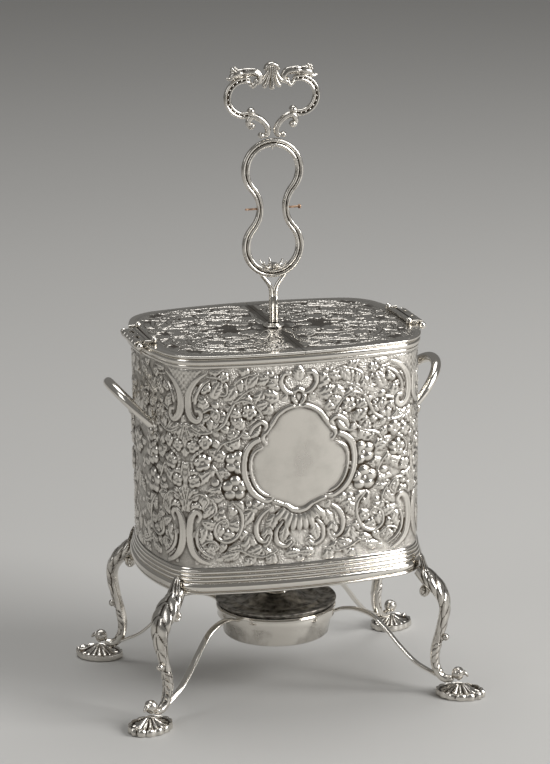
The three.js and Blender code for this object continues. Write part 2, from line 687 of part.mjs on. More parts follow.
// Lifting frame: egg rings on a bar, a tray and four posts, and the stem up through the lids.
function addRack() {
  const { pitchX, pitchY, inner, outer, bottom, top, tray, trayTop } = RACK;
  const halfBar = pitchY - outer - GAP - 0.1;
  const bar = box(-pitchX - 18, pitchX + 18, -halfBar, halfBar, bottom, top);
  add('rack_bar', cut(bar, stemSection(bottom - 5, top + 5, GAP)), GREY_SILVER, 0.35);
  let number = 1;
  for (const y of [-pitchY, pitchY]) {
    for (const x of [-pitchX, 0, pitchX]) {
      const ring = turned([[inner, bottom], [outer, bottom], [outer, top], [inner, top]], 16);
      add(`egg_ring_${number}`, ring.translate(x, y, 0), GREY_SILVER, 0.35);
      number += 1;
    }
  }
  const middle = (inner + outer) / 2;
  const posts = [];
  for (const [sx, sy] of CORNERS) {
    const at = middle * Math.SQRT1_2;
    posts.push([sx * (pitchX + at), sy * (pitchY + at)]);
  }
  const drains = [];
  for (const x of [-pitchX, 0, pitchX]) {
    for (const y of [-pitchY, pitchY]) drains.push(cylinderZ(6, tray - 1, trayTop + 1, x, y, 6));
  }
  const postRoom = posts.map(([x, y]) => cylinderZ(POST_RADIUS + 2 * GAP, tray - 1, trayTop + 1, x, y, 8));
  const inset = -6.5;
  add('rack_tray', cut(outlinePlate([[inset, tray], [inset, trayTop]]), ...drains, ...postRoom), GREY_SILVER, 0.35);
  posts.forEach(([x, y], i) => {
    add(`rack_post_${i + 1}`, cylinderZ(POST_RADIUS, FLOOR_Z.top + GAP, bottom - GAP, x, y, 10), GREY_SILVER, 0.35);
  });
}

// The stem's section is two reeds side by side.
function stemSection(z0, z1, grow = 0) {
  const r = STEM.reed + grow;
  const meet = Math.acos(STEM.spread / r);
  const shape = new THREE.Shape();
  shape.absarc(STEM.spread, 0, r, -(Math.PI - meet), Math.PI - meet, false);
  shape.absarc(-STEM.spread, 0, r, meet, 2 * Math.PI - meet, false);
  const bar = new THREE.ExtrudeGeometry(shape, { depth: z1 - z0, bevelEnabled: false, curveSegments: 6 });
  return bar.translate(0, 0, z0);
}

const facing = (x, z, across) => new THREE.Vector3(x, across, z);

function timerRoom(z) {
  return cylinderY(TIMER.outer + GAP, -10, 10, 0, z, 64);
}

function addStem() {
  const arms = [-1, 1].map((s) => bentBar([
    [s * 1.0, 213, 1.05, 1.1], [s * 1.15, 217.5, 1.05, 1.1], [s * 2.6, 222, 1.1, 1.1],
    [s * 5.0, 226, 1.1, 1.1], [s * 6.6, 229, 1.1, 1.1],
  ], facing, 6, 6));
  const stem = join(stemSection(STEM.bottom, STEM.top), ...arms);
  add('stem', cut(stem, timerRoom(TIMER.z - TIMER.lobe)));
}

// The timer frame's middle line: two round lobes joined by arcs that draw in to the waist.
function timerLine(steps) {
  const lobeRadius = (TIMER.outer + TIMER.inner) / 2;
  const waist = (TIMER.waistOuter + TIMER.waistInner) / 2;
  const bend = (waist ** 2 + TIMER.lobe ** 2 - lobeRadius ** 2) / (2 * (lobeRadius - waist));
  const turn = Math.atan2(TIMER.lobe, waist + bend);
  const points = [];
  const arc = (x, z, radius, from, to, count, inwards) => {
    for (let i = 0; i < count; i += 1) {
      const angle = from + ((to - from) * i) / count;
      const out = new THREE.Vector2(Math.cos(angle), Math.sin(angle));
      points.push({ x: x + radius * out.x, z: TIMER.z + z + radius * out.y, out: inwards ? out.negate() : out });
    }
  };
  const lobeSteps = steps * 3;
  arc(0, TIMER.lobe, lobeRadius, -turn, Math.PI + turn, lobeSteps, false);
  arc(-waist - bend, 0, bend, turn, -turn, steps, true);
  arc(0, -TIMER.lobe, lobeRadius, Math.PI - turn, 2 * Math.PI + turn, lobeSteps, false);
  arc(waist + bend, 0, bend, Math.PI + turn, Math.PI - turn, steps, true);
  return points;
}

// The frame's strap is two reeds with a groove between them, and narrows at the waist.
function addTimerFrame() {
  const wide = (TIMER.outer - TIMER.inner) / 2;
  const narrow = (TIMER.waistOuter - TIMER.waistInner) / 2;
  const upper = [[-0.5, 1], [0, 0.55], [0.5, 1]];
  const lower = upper.map(([n, y]) => [-n, -y]);
  const section = [[-1, 0], ...upper, [1, 0], ...lower];
  const rings = timerLine(5).map(({ x, z, out }) => {
    const share = Math.min(1, Math.abs(z - TIMER.z) / (TIMER.lobe * 0.8));
    const half = narrow + (wide - narrow) * share;
    return section.map(([n, y]) => facing(x + out.x * n * half, z + out.y * n * half, y * TIMER.depth));
  });
  const pinBore = cylinderX(WAIST_PIN.radius + GAP, -12, 12, 0, TIMER.z, 10);
  const nub = cylinderZ(0.5, TIMER.z + TIMER.lobe + TIMER.inner - 1.4, TIMER.z + TIMER.lobe + TIMER.inner + 1, 0, 0, 6);
  add('timer_frame', cut(join(loft(rings, true), nub), pinBore));
}

// The calyx that held the foot of the glass: a small boss with claws that spread upwards.
function addCalyx() {
  const z0 = TIMER.z - TIMER.lobe - TIMER.inner + 0.6;
  const boss = turned([[0, z0], [1.4, z0], [2.6, z0 + 1.4], [3.0, z0 + 2.4], [0, z0 + 2.4]], 10);
  const claws = [];
  const count = 6;
  for (let i = 0; i < count; i += 1) {
    const angle = ((i + 0.5) / count) * 2 * Math.PI;
    const place = (out, z, across) => new THREE.Vector3(
      out * Math.cos(angle) - across * Math.sin(angle), out * Math.sin(angle) + across * Math.cos(angle), z);
    claws.push(bentBar([[1.5, z0 + 1.4, 0.6, 0.9], [3.8, z0 + 0.7, 0.5, 1.0], [6, z0 + 1.5, 0.45, 0.8],
      [7.2, z0 + 4, 0.35, 0.4]], place, 3, 4));
  }
  add('timer_calyx', join(boss, ...claws), CAST, 0.3);
}

// Waist pins: the left one ends in a flat tab, the right one in a small round head.
function addWaistPin(side, name) {
  const { radius, inner, outer } = WAIST_PIN;
  const { head: headRadius, headLength, tabLength, tabWidth, tabHalf } = WAIST_PIN_ENDS;
  const tip = outer + 0.4;
  const [x0, x1] = side > 0 ? [inner, outer] : [-outer, -inner];
  const shaft = cylinderX(radius, x0, x1, 0, TIMER.z, 10);
  const head = side > 0
    ? cylinderX(headRadius, tip - headLength, tip, 0, TIMER.z, 12)
    : box(-tip, -tip + tabLength, -tabWidth, tabWidth, TIMER.z - tabHalf, TIMER.z + tabHalf);
  add(name, join(shaft, head), 0xa37c58, 0.35);
}

// Grip: on each side a broad C scroll under a leaf-wrapped bar, and below it a small scroll that
// stands on the timer frame. A shell fills the middle.
function gripScroll(side) {
  const middle = (GRIP.outer + GRIP.inner) / 2;
  const half = (GRIP.outer - GRIP.inner) / 2;
  const c = [];
  for (let i = 0; i <= 8; i += 1) {
    const angle = THREE.MathUtils.degToRad(68 + (i / 8) * 232);
    const swell = Math.sin((Math.PI * (i + 1)) / 10);
    c.push([-GRIP.centreX + middle * Math.cos(angle), GRIP.centreZ + middle * Math.sin(angle),
      half * (0.72 + 0.28 * swell), GRIP.depth * (0.7 + 0.3 * swell)]);
  }
  const bar = [[-20.8, 336.2, 1.6, 1.8], [-17, 337.3, 2.8, 2.4], [-12, 337.6, 2.7, 2.3], [-8.4, 337.8, 2.2, 2.1],
    [-6.9, 336.4, 1.4, 1.5]];
  const lower = [[-12.8, 308.6, 0.9, 1.3], [-13, 311.8, 1.2, 1.5], [-11, 314.2, 1.3, 1.6], [-6.8, 313, 1.2, 1.6],
    [-3.4, 310.2, 1.2, 1.6], [-1.9, 307.2, 1.2, 1.6], [-2.3, 304.2, 1.1, 1.5], [-4.6, 302.8, 1.0, 1.4]];
  const pieces = [bentBar(c, facing, 12, 6), bentBar(bar, facing, 5, 6), bentBar(lower, facing, 9, 6)];
  pieces.push(ball(2.5, -11.9, 0, 317.4), ball(2.2, -11.5, 0, 309.4), ball(1.9, -6.2, 0, 303.8));
  pieces.push(ball(1.9, -11.2, 0, 331.6), ball(2.4, -20.2, 0, 338.6));
  const solid = cut(join(...pieces), timerRoom(TIMER.z + TIMER.lobe));
  if (side > 0) solid.rotateZ(Math.PI);
  return solid;
}

// The shell: ribs that fan down from a ruffled crown, given as a radius about a point in its crown.
function gripShell() {
  const centreZ = 337.4;
  const shape = new THREE.Shape();
  const count = 48;
  for (let i = 0; i < count; i += 1) {
    const angle = (i / count) * 2 * Math.PI;
    const down = Math.max(0, -Math.sin(angle));
    const radius = 4.9 + 3.6 * down ** 1.5 + 1.0 * Math.abs(Math.cos(angle * 3.5 + Math.PI / 4));
    const x = radius * Math.cos(angle) * (0.95 + 0.25 * down);
    const z = radius * Math.sin(angle);
    if (i === 0) shape.moveTo(x, z);
    else shape.lineTo(x, z);
  }
  const depth = 3.6;
  const slab = new THREE.ExtrudeGeometry(shape, { depth, bevelEnabled: false });
  slab.rotateX(Math.PI / 2).translate(0, depth / 2, centreZ);
  return slab;
}

// Lamp: a straight-sided font with a stepped, dished top whose flange rests on the ring.
function addLamp() {
  const { topRadius, footRadius, bottom, top, wall } = FONT;
  add('lamp_font', turned([
    [0, bottom], [footRadius - 1.2, bottom], [footRadius, bottom + 1], [topRadius, RING.bottom],
    [topRadius, top], [topRadius - wall, top], [topRadius - wall, RING.bottom],
    [footRadius - wall, bottom + wall + 1], [0, bottom + wall],
  ], 24));
  const { radius, bottom: under, top: lip } = FLANGE;
  const hole = WICK_TUBE.inner;
  add('lamp_top', turned([
    [hole, under], [31.6, under], [32, under + 1.4], [radius, lip - 0.8], [radius - 0.4, lip], [30.4, lip],
    [29.6, lip - 0.9], [24.6, lip - 0.9], [23.6, lip - 0.2], [22, lip - 1.4], [16.6, lip - 1.4], [15, lip + 0.6],
    [12.4, lip + 1.0], [11.4, lip + 2.6], [hole, lip + 2.8],
  ], 18), GREY_SILVER, 0.3);
  add('wick_tube', turned([
    [WICK_TUBE.inner, WICK_TUBE.bottom], [7.2, WICK_TUBE.bottom], [7.2, WICK_TUBE.bottom + 0.9],
    [WICK_TUBE.outer, WICK_TUBE.bottom + 1.3], [WICK_TUBE.outer, WICK_TUBE.top], [WICK_TUBE.inner, WICK_TUBE.top],
  ], 16), SILVER, 0.2);
  add('wick', cylinderZ(WICK_TUBE.inner - GAP, FONT.bottom + 4, WICK_TUBE.top + 2, 0, 0, 12), COTTON, 0.95, 0);
}

function addBurnerRing() {
  const { inner, outer, bead, bottom, top } = RING;
  add('burner_ring', turned([
    [inner, bottom], [outer - 0.2, bottom], [outer, bottom + 0.3], [outer, top - 2], [bead, top - 1.6],
    [bead, top - 0.6], [outer + 0.3, top], [inner, top],
  ], 24));
}

const CORNERS = [[-1, -1, 'front_left'], [1, -1, 'front_right'], [1, 1, 'back_right'], [-1, 1, 'back_left']];
const ENDS = [[-1, 'left'], [1, 'right']];

addVessel();
for (const [sx, sy, place] of CORNERS) {
  addLeg(sx, sy, `leg_${place}`);
  addFoot(sx, sy, `shell_foot_${place}`);
  addStrap(sx, sy, `strap_${place}`);
}
for (const [side, place] of ENDS) {
  addHandle(side, `side_handle_${place}`);
  addHandleLeaf(side, -1, `handle_leaf_${place}_a`);
  addHandleLeaf(side, 1, `handle_leaf_${place}_b`);
  addLid(side, `lid_${place}`);
  addCollar(side, `collar_${place}`);
  add(`lid_hinge_leaf_${place}`, lidLeaf(side), CAST, 0.3);
  add(`rim_hinge_plate_${place}`, rimLeaf(side), CAST, 0.3);
  add(`hinge_pin_${place}`, hingePin(side));
  addWaistPin(side, `waist_pin_${place}`);
  add(`grip_scroll_${place}`, gripScroll(side), CAST, 0.28);
}
add('grip_shell', gripShell(), CAST, 0.28);
addRack();
addStem();
addTimerFrame();
addCalyx();
addBurnerRing();
addLamp();

export default group;
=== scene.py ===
"""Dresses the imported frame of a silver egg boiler: chased walls and lids, cast legs and grip, lamp and stage.

Lengths in the tables are in millimetres in the frame of the CAD part, and meshes are written in metres.
"""

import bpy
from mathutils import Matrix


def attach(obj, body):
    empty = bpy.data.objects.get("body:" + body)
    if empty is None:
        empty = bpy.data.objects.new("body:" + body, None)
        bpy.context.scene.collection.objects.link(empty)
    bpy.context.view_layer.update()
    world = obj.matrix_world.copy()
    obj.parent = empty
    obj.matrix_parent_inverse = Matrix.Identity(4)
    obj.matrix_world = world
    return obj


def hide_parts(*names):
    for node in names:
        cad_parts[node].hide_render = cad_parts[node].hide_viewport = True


bl_info = {
    "name": "Egg boiler",
    "version": (1, 0, 0),
    "blender": (4, 5, 0),
    "location": "View3D > Sidebar > Egg boiler",
    "description": "Builds the silver egg boiler's chased, cast and turned pieces around the packed frame",
    "category": "Add Mesh",
}

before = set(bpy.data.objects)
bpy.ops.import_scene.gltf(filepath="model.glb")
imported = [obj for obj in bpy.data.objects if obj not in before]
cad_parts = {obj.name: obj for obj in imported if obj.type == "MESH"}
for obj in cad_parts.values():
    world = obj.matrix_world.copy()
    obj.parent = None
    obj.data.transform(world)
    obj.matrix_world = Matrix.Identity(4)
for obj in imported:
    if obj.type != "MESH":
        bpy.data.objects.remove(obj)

import math

import bpy
import numpy as np
from bpy.props import FloatProperty, FloatVectorProperty, PointerProperty
from mathutils import Matrix, Vector

MM = 0.001
TAU = 2 * math.pi
# The gap between soldered parts, and how deep a hollow in a cast piece is when its painted shade and tarnish are
# fully dark.
GAP = 0.3
CREVICE = 0.045

# The vessel's outline, its wall, and the heights of its mouldings.
HALF_LENGTH, HALF_DEPTH = 75.2, 57.2
SIDE_RADIUS, END_RADIUS, CORNER_RADIUS = 260.0, 111.0, 22.0
WALL = 1.2
BODY_BOTTOM, BODY_TOP = 71.0, 197.9
CHASED_BOTTOM, CHASED_TOP = 83.8, 192.4
BASE_BOTTOM, BASE_BEAD_TOP, BASE_TORUS_TOP, BASE_TOP = 69.4, 71.0, 76.2, 83.6
REED_HEIGHT = 2.1
RIM_BOTTOM, RIM_GROOVE, RIM_TORUS = 192.6, 194.4, 2.0
# The chasing fades over this height at its edges. Relief counts as raised above RAISED, and a trough
# runs along the foot of all that is raised.
CHASING_FADE, RAISED, TROUGH = 1.2, 0.1, 0.3

# Lids, collar and end hinges.
LID_BOTTOM, LID_TOP, LID_OVER, LID_HOLE, SEAM_STRIP = 198.2, 199.6, 2.2, 3.1, 2.4
HINGE_X, HINGE_Z, HINGE_RADIUS, HINGE_HALF = 78.7, 198.2, 2.3, 14.5
HINGE_BORE, HINGE_PIN, HINGE_BALL, HINGE_BALL_Y = 1.25, 0.95, 1.9, 18.0
# The lid's chasing lies inside LID_BORDER, with sunk lines beyond it at distances from the edge. It is
# flattened towards LID_RELIEF, more so above LID_SOFT.
LID_ROUND, LID_BORDER, LID_LINES, LID_LINE_DEPTH, LID_RAYS = 0.5, 4.5, (3.2, 4.3), 0.12, 60
LID_RELIEF, LID_SOFT = 0.42, 0.26
# The reeded plate's ends and its webs' start in X, the plate on the rim, and the strip under the hinge.
LEAF_INNER, LEAF_OUTER, LEAF_WEB = 70.4, 76.0, 75.6
PLATE_X, PLATE_OUT, PLATE_Z = 77.7, 78.9, 195.2
STRIP_BOTTOM, STRIP_TOP = 193.2, 195.4
KNUCKLE_PITCH = (2 * HINGE_HALF + GAP) / 5

# Legs, feet and straps.
LEG_ORIGIN, LEG_ANGLE, LEG_REACH = (67.9, 47.5), math.radians(32.5), 0.8
LEG_PATH = [
    (-1.8, 70.2, 3.6, 3.6), (5, 65, 4.4, 5.4), (11.2, 60.6, 4.1, 6.0), (15.6, 55.3, 3.7, 5.6),
    (16.9, 48.5, 3.3, 4.6), (15.3, 40.5, 3.1, 3.6), (13.3, 34, 2.9, 2.9), (11.6, 28.4, 3.1, 3.0),
    (10.3, 22.5, 3.0, 3.0), (10.8, 16.3, 2.8, 2.8), (13.5, 11.3, 2.6, 2.7), (18.2, 8.6, 2.3, 2.6),
    (24, 9.2, 1.8, 2.6),
]
FOOT_ALONG, FOOT_ACROSS, FOOT_CENTRE = 14.3, 11.4, 22.4
STRAP_PATH = [(33.4, 41), (39, 43.1), (47, 43.4), (56, 40.4), (64, 33.2), (72, 24.2), (81, 16), (92.6, 10.2)]

# Side handles.
HANDLE_Y, HANDLE_Z, HANDLE_REACH, HANDLE_TILT = 22.0, 155.0, 27.5, math.radians(47)

# Lifting frame, its timer holder and its grip.
STEM_BOTTOM, STEM_TOP = 80.5, 216.5
TIMER_Z, TIMER_LOBE = 264.4, 20.6
TIMER_OUTER, TIMER_INNER, WAIST_OUTER, WAIST_INNER, TIMER_DEPTH = 17.2, 12.6, 8.9, 5.3, 1.5
GRIP_X, GRIP_Z, GRIP_RADIUS, GRIP_HALF, GRIP_DEPTH = 15.1, 324.5, 9.4, 2.0, 1.8
RACK_X, RACK_Y, RING_INNER, RING_OUTER, RACK_BOTTOM, RACK_TOP = 42.8, 24.0, 20.0, 21.2, 96.0, 99.0

CORNERS = [(-1, -1, "front_left"), (1, -1, "front_right"), (1, 1, "back_right"), (-1, 1, "back_left")]
ENDS = [(-1, "left"), (1, "right")]


# ---------------------------------------------------------------- curves and outline

def spline(points, count):
    """Catmull-Rom curve: on each span the point is the cubic whose slope at a control point is half the
    chord between that point's two neighbours. Rows are points, and any further columns run along."""
    p = np.asarray(points, float)
    p = np.vstack([2 * p[0] - p[1], p, 2 * p[-1] - p[-2]])
    t = np.linspace(0, len(p) - 3, count)
    i = np.minimum(t.astype(int), len(p) - 4)
    f = (t - i)[:, None]
    a, b, c, d = p[i], p[i + 1], p[i + 2], p[i + 3]
    return 0.5 * (2 * b + (c - a) * f + (2 * a - 5 * b + 4 * c - d) * f**2 + (3 * b - a - 3 * c + d) * f**3)


def run_of(line):
    """Distance along a polyline at each of its points, from its first two columns."""
    return np.concatenate([[0], np.cumsum(np.hypot(*np.diff(np.asarray(line)[:, :2], axis=0).T))])


def angles(count):
    """Even angles right round, from 0."""
    return np.linspace(0, TAU, count, endpoint=False)


def unit(x):
    """Clipped to between 0 and 1."""
    return np.clip(x, 0, 1)


def hump(x):
    """A sine hump over x from 0 to 1."""
    return np.sin(math.pi * x)


def lobed(x, power=0.6):
    """A lobe for each unit of x: a sine hump without its sign, to a power."""
    return np.abs(hump(x)) ** power


def xyz(x, y, z):
    """Points from three coordinates that broadcast together."""
    return np.stack(np.broadcast_arrays(x, y, z), -1)


def half_round(offset, z0, z1, out, count=12):
    """Half an ellipse from (offset, z0) to (offset, z1), bulging by out: a bead or torus in profile."""
    a = np.linspace(0, math.pi, count)
    return np.column_stack([offset + out * np.sin(a), (z0 + z1) / 2 - np.cos(a) * (z1 - z0) / 2])


def corner_centre():
    """A corner arc's centre: where a circle about the side arc's centre meets one about the end arc's,
    each with its own radius less the corner's."""
    side = np.array([0.0, HALF_DEPTH - SIDE_RADIUS])
    end = np.array([HALF_LENGTH - END_RADIUS, 0.0])
    r1, r2 = SIDE_RADIUS - CORNER_RADIUS, END_RADIUS - CORNER_RADIUS
    d = float(np.hypot(*(end - side)))
    e = (end - side) / d
    k = (r1 * r1 - r2 * r2 + d * d) / (2 * d)
    h = math.sqrt(r1 * r1 - k * k)
    return side + k * e + h * np.array([e[1], -e[0]])


CORNER_X, CORNER_Y = corner_centre()
SIDE_TURN = math.atan2(CORNER_X, CORNER_Y + SIDE_RADIUS - HALF_DEPTH)
END_TURN = math.atan2(CORNER_Y, CORNER_X + END_RADIUS - HALF_LENGTH)
SIDE_RUN = SIDE_RADIUS * SIDE_TURN
CORNER_RUN = CORNER_RADIUS * (math.pi / 2 - SIDE_TURN - END_TURN)
QUARTER = SIDE_RUN + CORNER_RUN + END_RADIUS * END_TURN


def outline(s, offset=0.0):
    """The point at arc length s along the outline from the middle of the front, towards the right,
    moved out by offset. It lies on the side, corner or end arc; the other quarters are mirror images."""
    s = np.mod(s, 4 * QUARTER)
    left = s > 2 * QUARTER
    s = np.where(left, 4 * QUARTER - s, s)
    back = s > QUARTER
    s = np.where(back, 2 * QUARTER - s, s)
    on_side, on_end = s < SIDE_RUN, s > SIDE_RUN + CORNER_RUN
    turn = np.where(on_side, s / SIDE_RADIUS, SIDE_TURN + (s - SIDE_RUN) / CORNER_RADIUS)
    turn = np.where(on_end, math.pi / 2 - (QUARTER - s) / END_RADIUS, turn)
    radius = np.where(on_side, SIDE_RADIUS, np.where(on_end, END_RADIUS, CORNER_RADIUS)) + offset
    cx = np.where(on_side, 0.0, np.where(on_end, HALF_LENGTH - END_RADIUS, CORNER_X))
    cy = np.where(on_side, SIDE_RADIUS - HALF_DEPTH, np.where(on_end, 0.0, -CORNER_Y))
    x, y = cx + radius * np.sin(turn), cy - radius * np.cos(turn)
    return np.stack([np.where(left, -x, x), np.where(back, -y, y)], -1)


def around():
    """Arc lengths right round the outline, closer at the corners and at the hinge notches' ends."""
    notch = QUARTER - END_RADIUS * math.asin((HINGE_HALF + 2 * GAP) / END_RADIUS)
    quarter = np.sort(np.concatenate([
        np.linspace(0, SIDE_RUN, 34, endpoint=False),
        np.linspace(SIDE_RUN, SIDE_RUN + CORNER_RUN, 14, endpoint=False),
        np.linspace(SIDE_RUN + CORNER_RUN, QUARTER, 26, endpoint=False), [notch - 0.04, notch + 0.04],
    ]))
    half = np.concatenate([quarter, [QUARTER], (2 * QUARTER - quarter[1:])[::-1]])
    return np.concatenate([half, half + 2 * QUARTER])


def clear_barrel(points):
    """Pushes points out of the room round each hinge barrel, straight away from the hinge line."""
    room, reach = HINGE_RADIUS + GAP, HINGE_HALF + 2 * GAP
    side = np.sign(points[..., 0])
    dx, dz = np.abs(points[..., 0]) - HINGE_X, points[..., 2] - HINGE_Z
    d = np.hypot(dx, dz)
    near = (d < room) & (np.abs(points[..., 1]) < reach)
    push = np.where(near, room / np.maximum(d, 1e-6), 1.0)
    return np.stack([side * (HINGE_X + dx * push), points[..., 1], HINGE_Z + dz * push], -1)


# ---------------------------------------------------------------- meshes

def oriented(points, faces):
    """Turns a closed surface outwards when the sum of its faces' signed volumes is negative."""
    volume = 0.0
    for f in faces:
        a, b, c = points[f[:, 0]], points[f[:, 1]], points[f[:, 2]]
        volume += np.einsum("ij,ij->", a, np.cross(b, c))
        if f.shape[1] == 4:
            volume += np.einsum("ij,ij->", a, np.cross(c, points[f[:, 3]]))
    return (points, faces) if volume > 0 else (points, [f[:, ::-1] for f in faces])


def merged(parts):
    """Several closed surfaces as one list of points and faces."""
    start = np.cumsum([0] + [len(p) for p, _ in parts])
    return np.vstack([p for p, _ in parts]), [f + n for (_, fs), n in zip(parts, start) for f in fs]


def lattice(n, m, looped=False, flipped=False):
    """Quads between n rings of m points that run round, with their corners the other way when flipped."""
    i, j = np.meshgrid(np.arange(n if looped else n - 1), np.arange(m), indexing="ij")
    here, over, side = i * m, (i + 1) % n * m, (j + 1) % m
    corners = [here + j, here + side, over + side, over + j]
    if flipped:
        corners = [corners[0], *corners[:0:-1]]
    return np.stack(corners, -1).reshape(-1, 4)


def skin(grid, looped=False, tips=None):
    """The surface over a grid of rings (rows) whose points (columns) run round. Its rows either loop, or
    end in a fan to a tip, which is the ring's middle when none is given."""
    n, m = grid.shape[:2]
    points, faces = grid.reshape(-1, 3), [lattice(n, m, looped)]
    if not looped:
        ends = tips if tips is not None else (grid[0].mean(0), grid[-1].mean(0))
        k, last = np.arange(m), (n - 1) * m
        points = np.vstack([points, ends])
        faces.append(np.stack([np.full(m, n * m), (k + 1) % m, k], -1))
        faces.append(np.stack([np.full(m, n * m + 1), last + k, last + (k + 1) % m], -1))
    return oriented(points, faces)


def turned(profile, sides=64, axis="z", centre=(0, 0, 0), closed=True):
    """A profile of (radius, height) turned about an axis through centre. A closed one is a ring; an open
    one starts and ends on the axis, where its tips are."""
    p = np.asarray(profile, float)
    tips = None
    if not closed:
        tips, p = p[[0, -1]], p[1:-1]
    a = angles(sides)
    r, h = p[:, :1], p[:, 1:]
    c, s = r * np.cos(a), r * np.sin(a)
    order = {"z": (c, s, h), "y": (s, h, c), "x": (h, c, s)}[axis]
    grid = xyz(*order) + np.asarray(centre, float)
    if tips is not None:
        place = {"z": (0, 0, 1), "y": (0, 1, 0), "x": (1, 0, 0)}[axis]
        tips = tips[:, 1:] * np.array([place]) + np.asarray(centre, float)
    return skin(grid, looped=closed, tips=tips)


def rod(radius, start, stop, sides, axis, centre):
    """A round rod between two places along an axis through centre."""
    return turned([(0, start), (radius, start), (radius, stop), (0, stop)], sides, axis, centre, False)


def ball(radius, centre, squash=(1, 1, 1), sides=20, rings=12):
    """A ball, or an ellipsoid when squashed, with its poles on Z."""
    lat = np.linspace(0, math.pi, rings + 2)[1:-1, None]
    lon = angles(sides)
    level = radius * np.sin(lat)
    grid = xyz(level * np.cos(lon), level * np.sin(lon), radius * np.cos(lat))
    scale, at = np.asarray(squash, float), np.asarray(centre, float)
    tips = np.array([[0, 0, radius], [0, 0, -radius]]) * scale + at
    return skin(grid * scale + at, tips=tips)


def bar(path, place, steps=80, sides=24, power=1.0, swell=None, rounded=(True, True)):
    """A bar along a path in a plane, given as (u, v, half thickness in the plane, half width across).
    Its section is an ellipse whose cosine and sine are raised to power, so it squares up below 1, and
    swell(t, angle) scales it. A rounded end shrinks like the end of a ball."""
    line = spline(path, steps)
    run = run_of(line)
    along = np.gradient(line[:, :2], axis=0)
    along /= np.linalg.norm(along, axis=1)[:, None]
    close = np.ones(steps)
    for at_end, distance, r in ((rounded[0], run, line[0, 2]), (rounded[1], run[-1] - run, line[-1, 2])):
        if at_end:
            close *= np.sqrt(unit(1 - np.clip(1 - distance / r, 0, 0.97) ** 2))
    angle = angles(sides) + (0.5 * TAU / sides if power < 1 else 0)
    c = np.sign(np.cos(angle)) * np.abs(np.cos(angle)) ** power
    s = np.sign(np.sin(angle)) * np.abs(np.sin(angle)) ** power
    size = close[:, None] * (1 if swell is None else swell(np.linspace(0, 1, steps)[:, None], angle[None, :]))
    a, b = line[:, 2:3] * c * size, line[:, 3:4] * s * size
    return skin(place(line[:, :1] - along[:, 1:] * a, line[:, 1:2] + along[:, :1] * a, b))


EYE = ((-1.12, 0.45), (-0.95, 0.85), (0.0, 1.0), (0.95, 0.85), (1.12, 0.45))


def curl(place, u, v, radius, width, turns, start, way, thick):
    """A volute: a bar on a spiral whose radius shrinks evenly with its angle, closed by a round eye of
    rings given as (share of the width, share of the radius)."""
    t = np.linspace(0, 1, 16)
    a = start + way * t * turns * TAU
    r = radius * (1 - thick) * (1 - 0.72 * t)
    half = radius * thick * (1 - 0.45 * t)
    path = np.column_stack([u + r * np.cos(a), v + r * np.sin(a), half, width * (0.86 + 0.14 * t)])
    b = angles(14)
    rings = []
    for share, size in EYE:
        e = radius * 0.3 * size
        rings.append(place(u + e * np.cos(b), v + e * np.sin(b), np.full(14, share * width)))
    return [bar(path, place, 70, 14), skin(np.stack(rings))]


def extruded(profile, stations):
    """A closed profile of (x, z) carried along Y, drawn in by a share towards its middle at each station
    of (y, share)."""
    p = np.asarray(profile, float)
    middle = p.mean(0)
    rings = [np.column_stack([middle[0] + (p[:, 0] - middle[0]) * k, np.full(len(p), y),
                              middle[1] + (p[:, 1] - middle[1]) * k]) for y, k in stations]
    return skin(np.stack(rings))


def mirrored(part, x=1, y=1):
    """A surface mirrored in X or Y and turned outwards again."""
    return oriented(part[0] * np.array([x, y, 1.0]), part[1])


def placed(name, data):
    """A new object in the scene."""
    obj = bpy.data.objects.new(name, data)
    bpy.context.scene.collection.objects.link(obj)
    return obj


def hollows(points, faces, rounds=7):
    """How far each point lies below its surroundings, along its own normal. The surroundings come from
    moving every point halfway to the mean of its neighbours, over and over."""
    total = len(points)
    edges = np.vstack([np.stack([f, np.roll(f, -1, 1)], -1).reshape(-1, 2) for f in faces])
    here, there = np.concatenate([edges, edges[:, ::-1]]).T
    count = np.bincount(here, minlength=total)[:, None]
    smooth = points
    for _ in range(rounds):
        near = np.stack([np.bincount(here, smooth[there, k], total) for k in range(3)], 1)
        smooth = 0.5 * (smooth + near / count)
    normal = np.zeros((total, 3))
    for f in faces:
        across = np.cross(points[f[:, 2]] - points[f[:, 0]], points[f[:, -1]] - points[f[:, 1]])
        for k in range(f.shape[1]):
            normal += np.stack([np.bincount(f[:, k], across[:, j], total) for j in range(3)], 1)
    normal /= np.maximum(np.linalg.norm(normal, axis=1), 1e-9)[:, None]
    return np.einsum("ij,ij->i", smooth - points, normal)


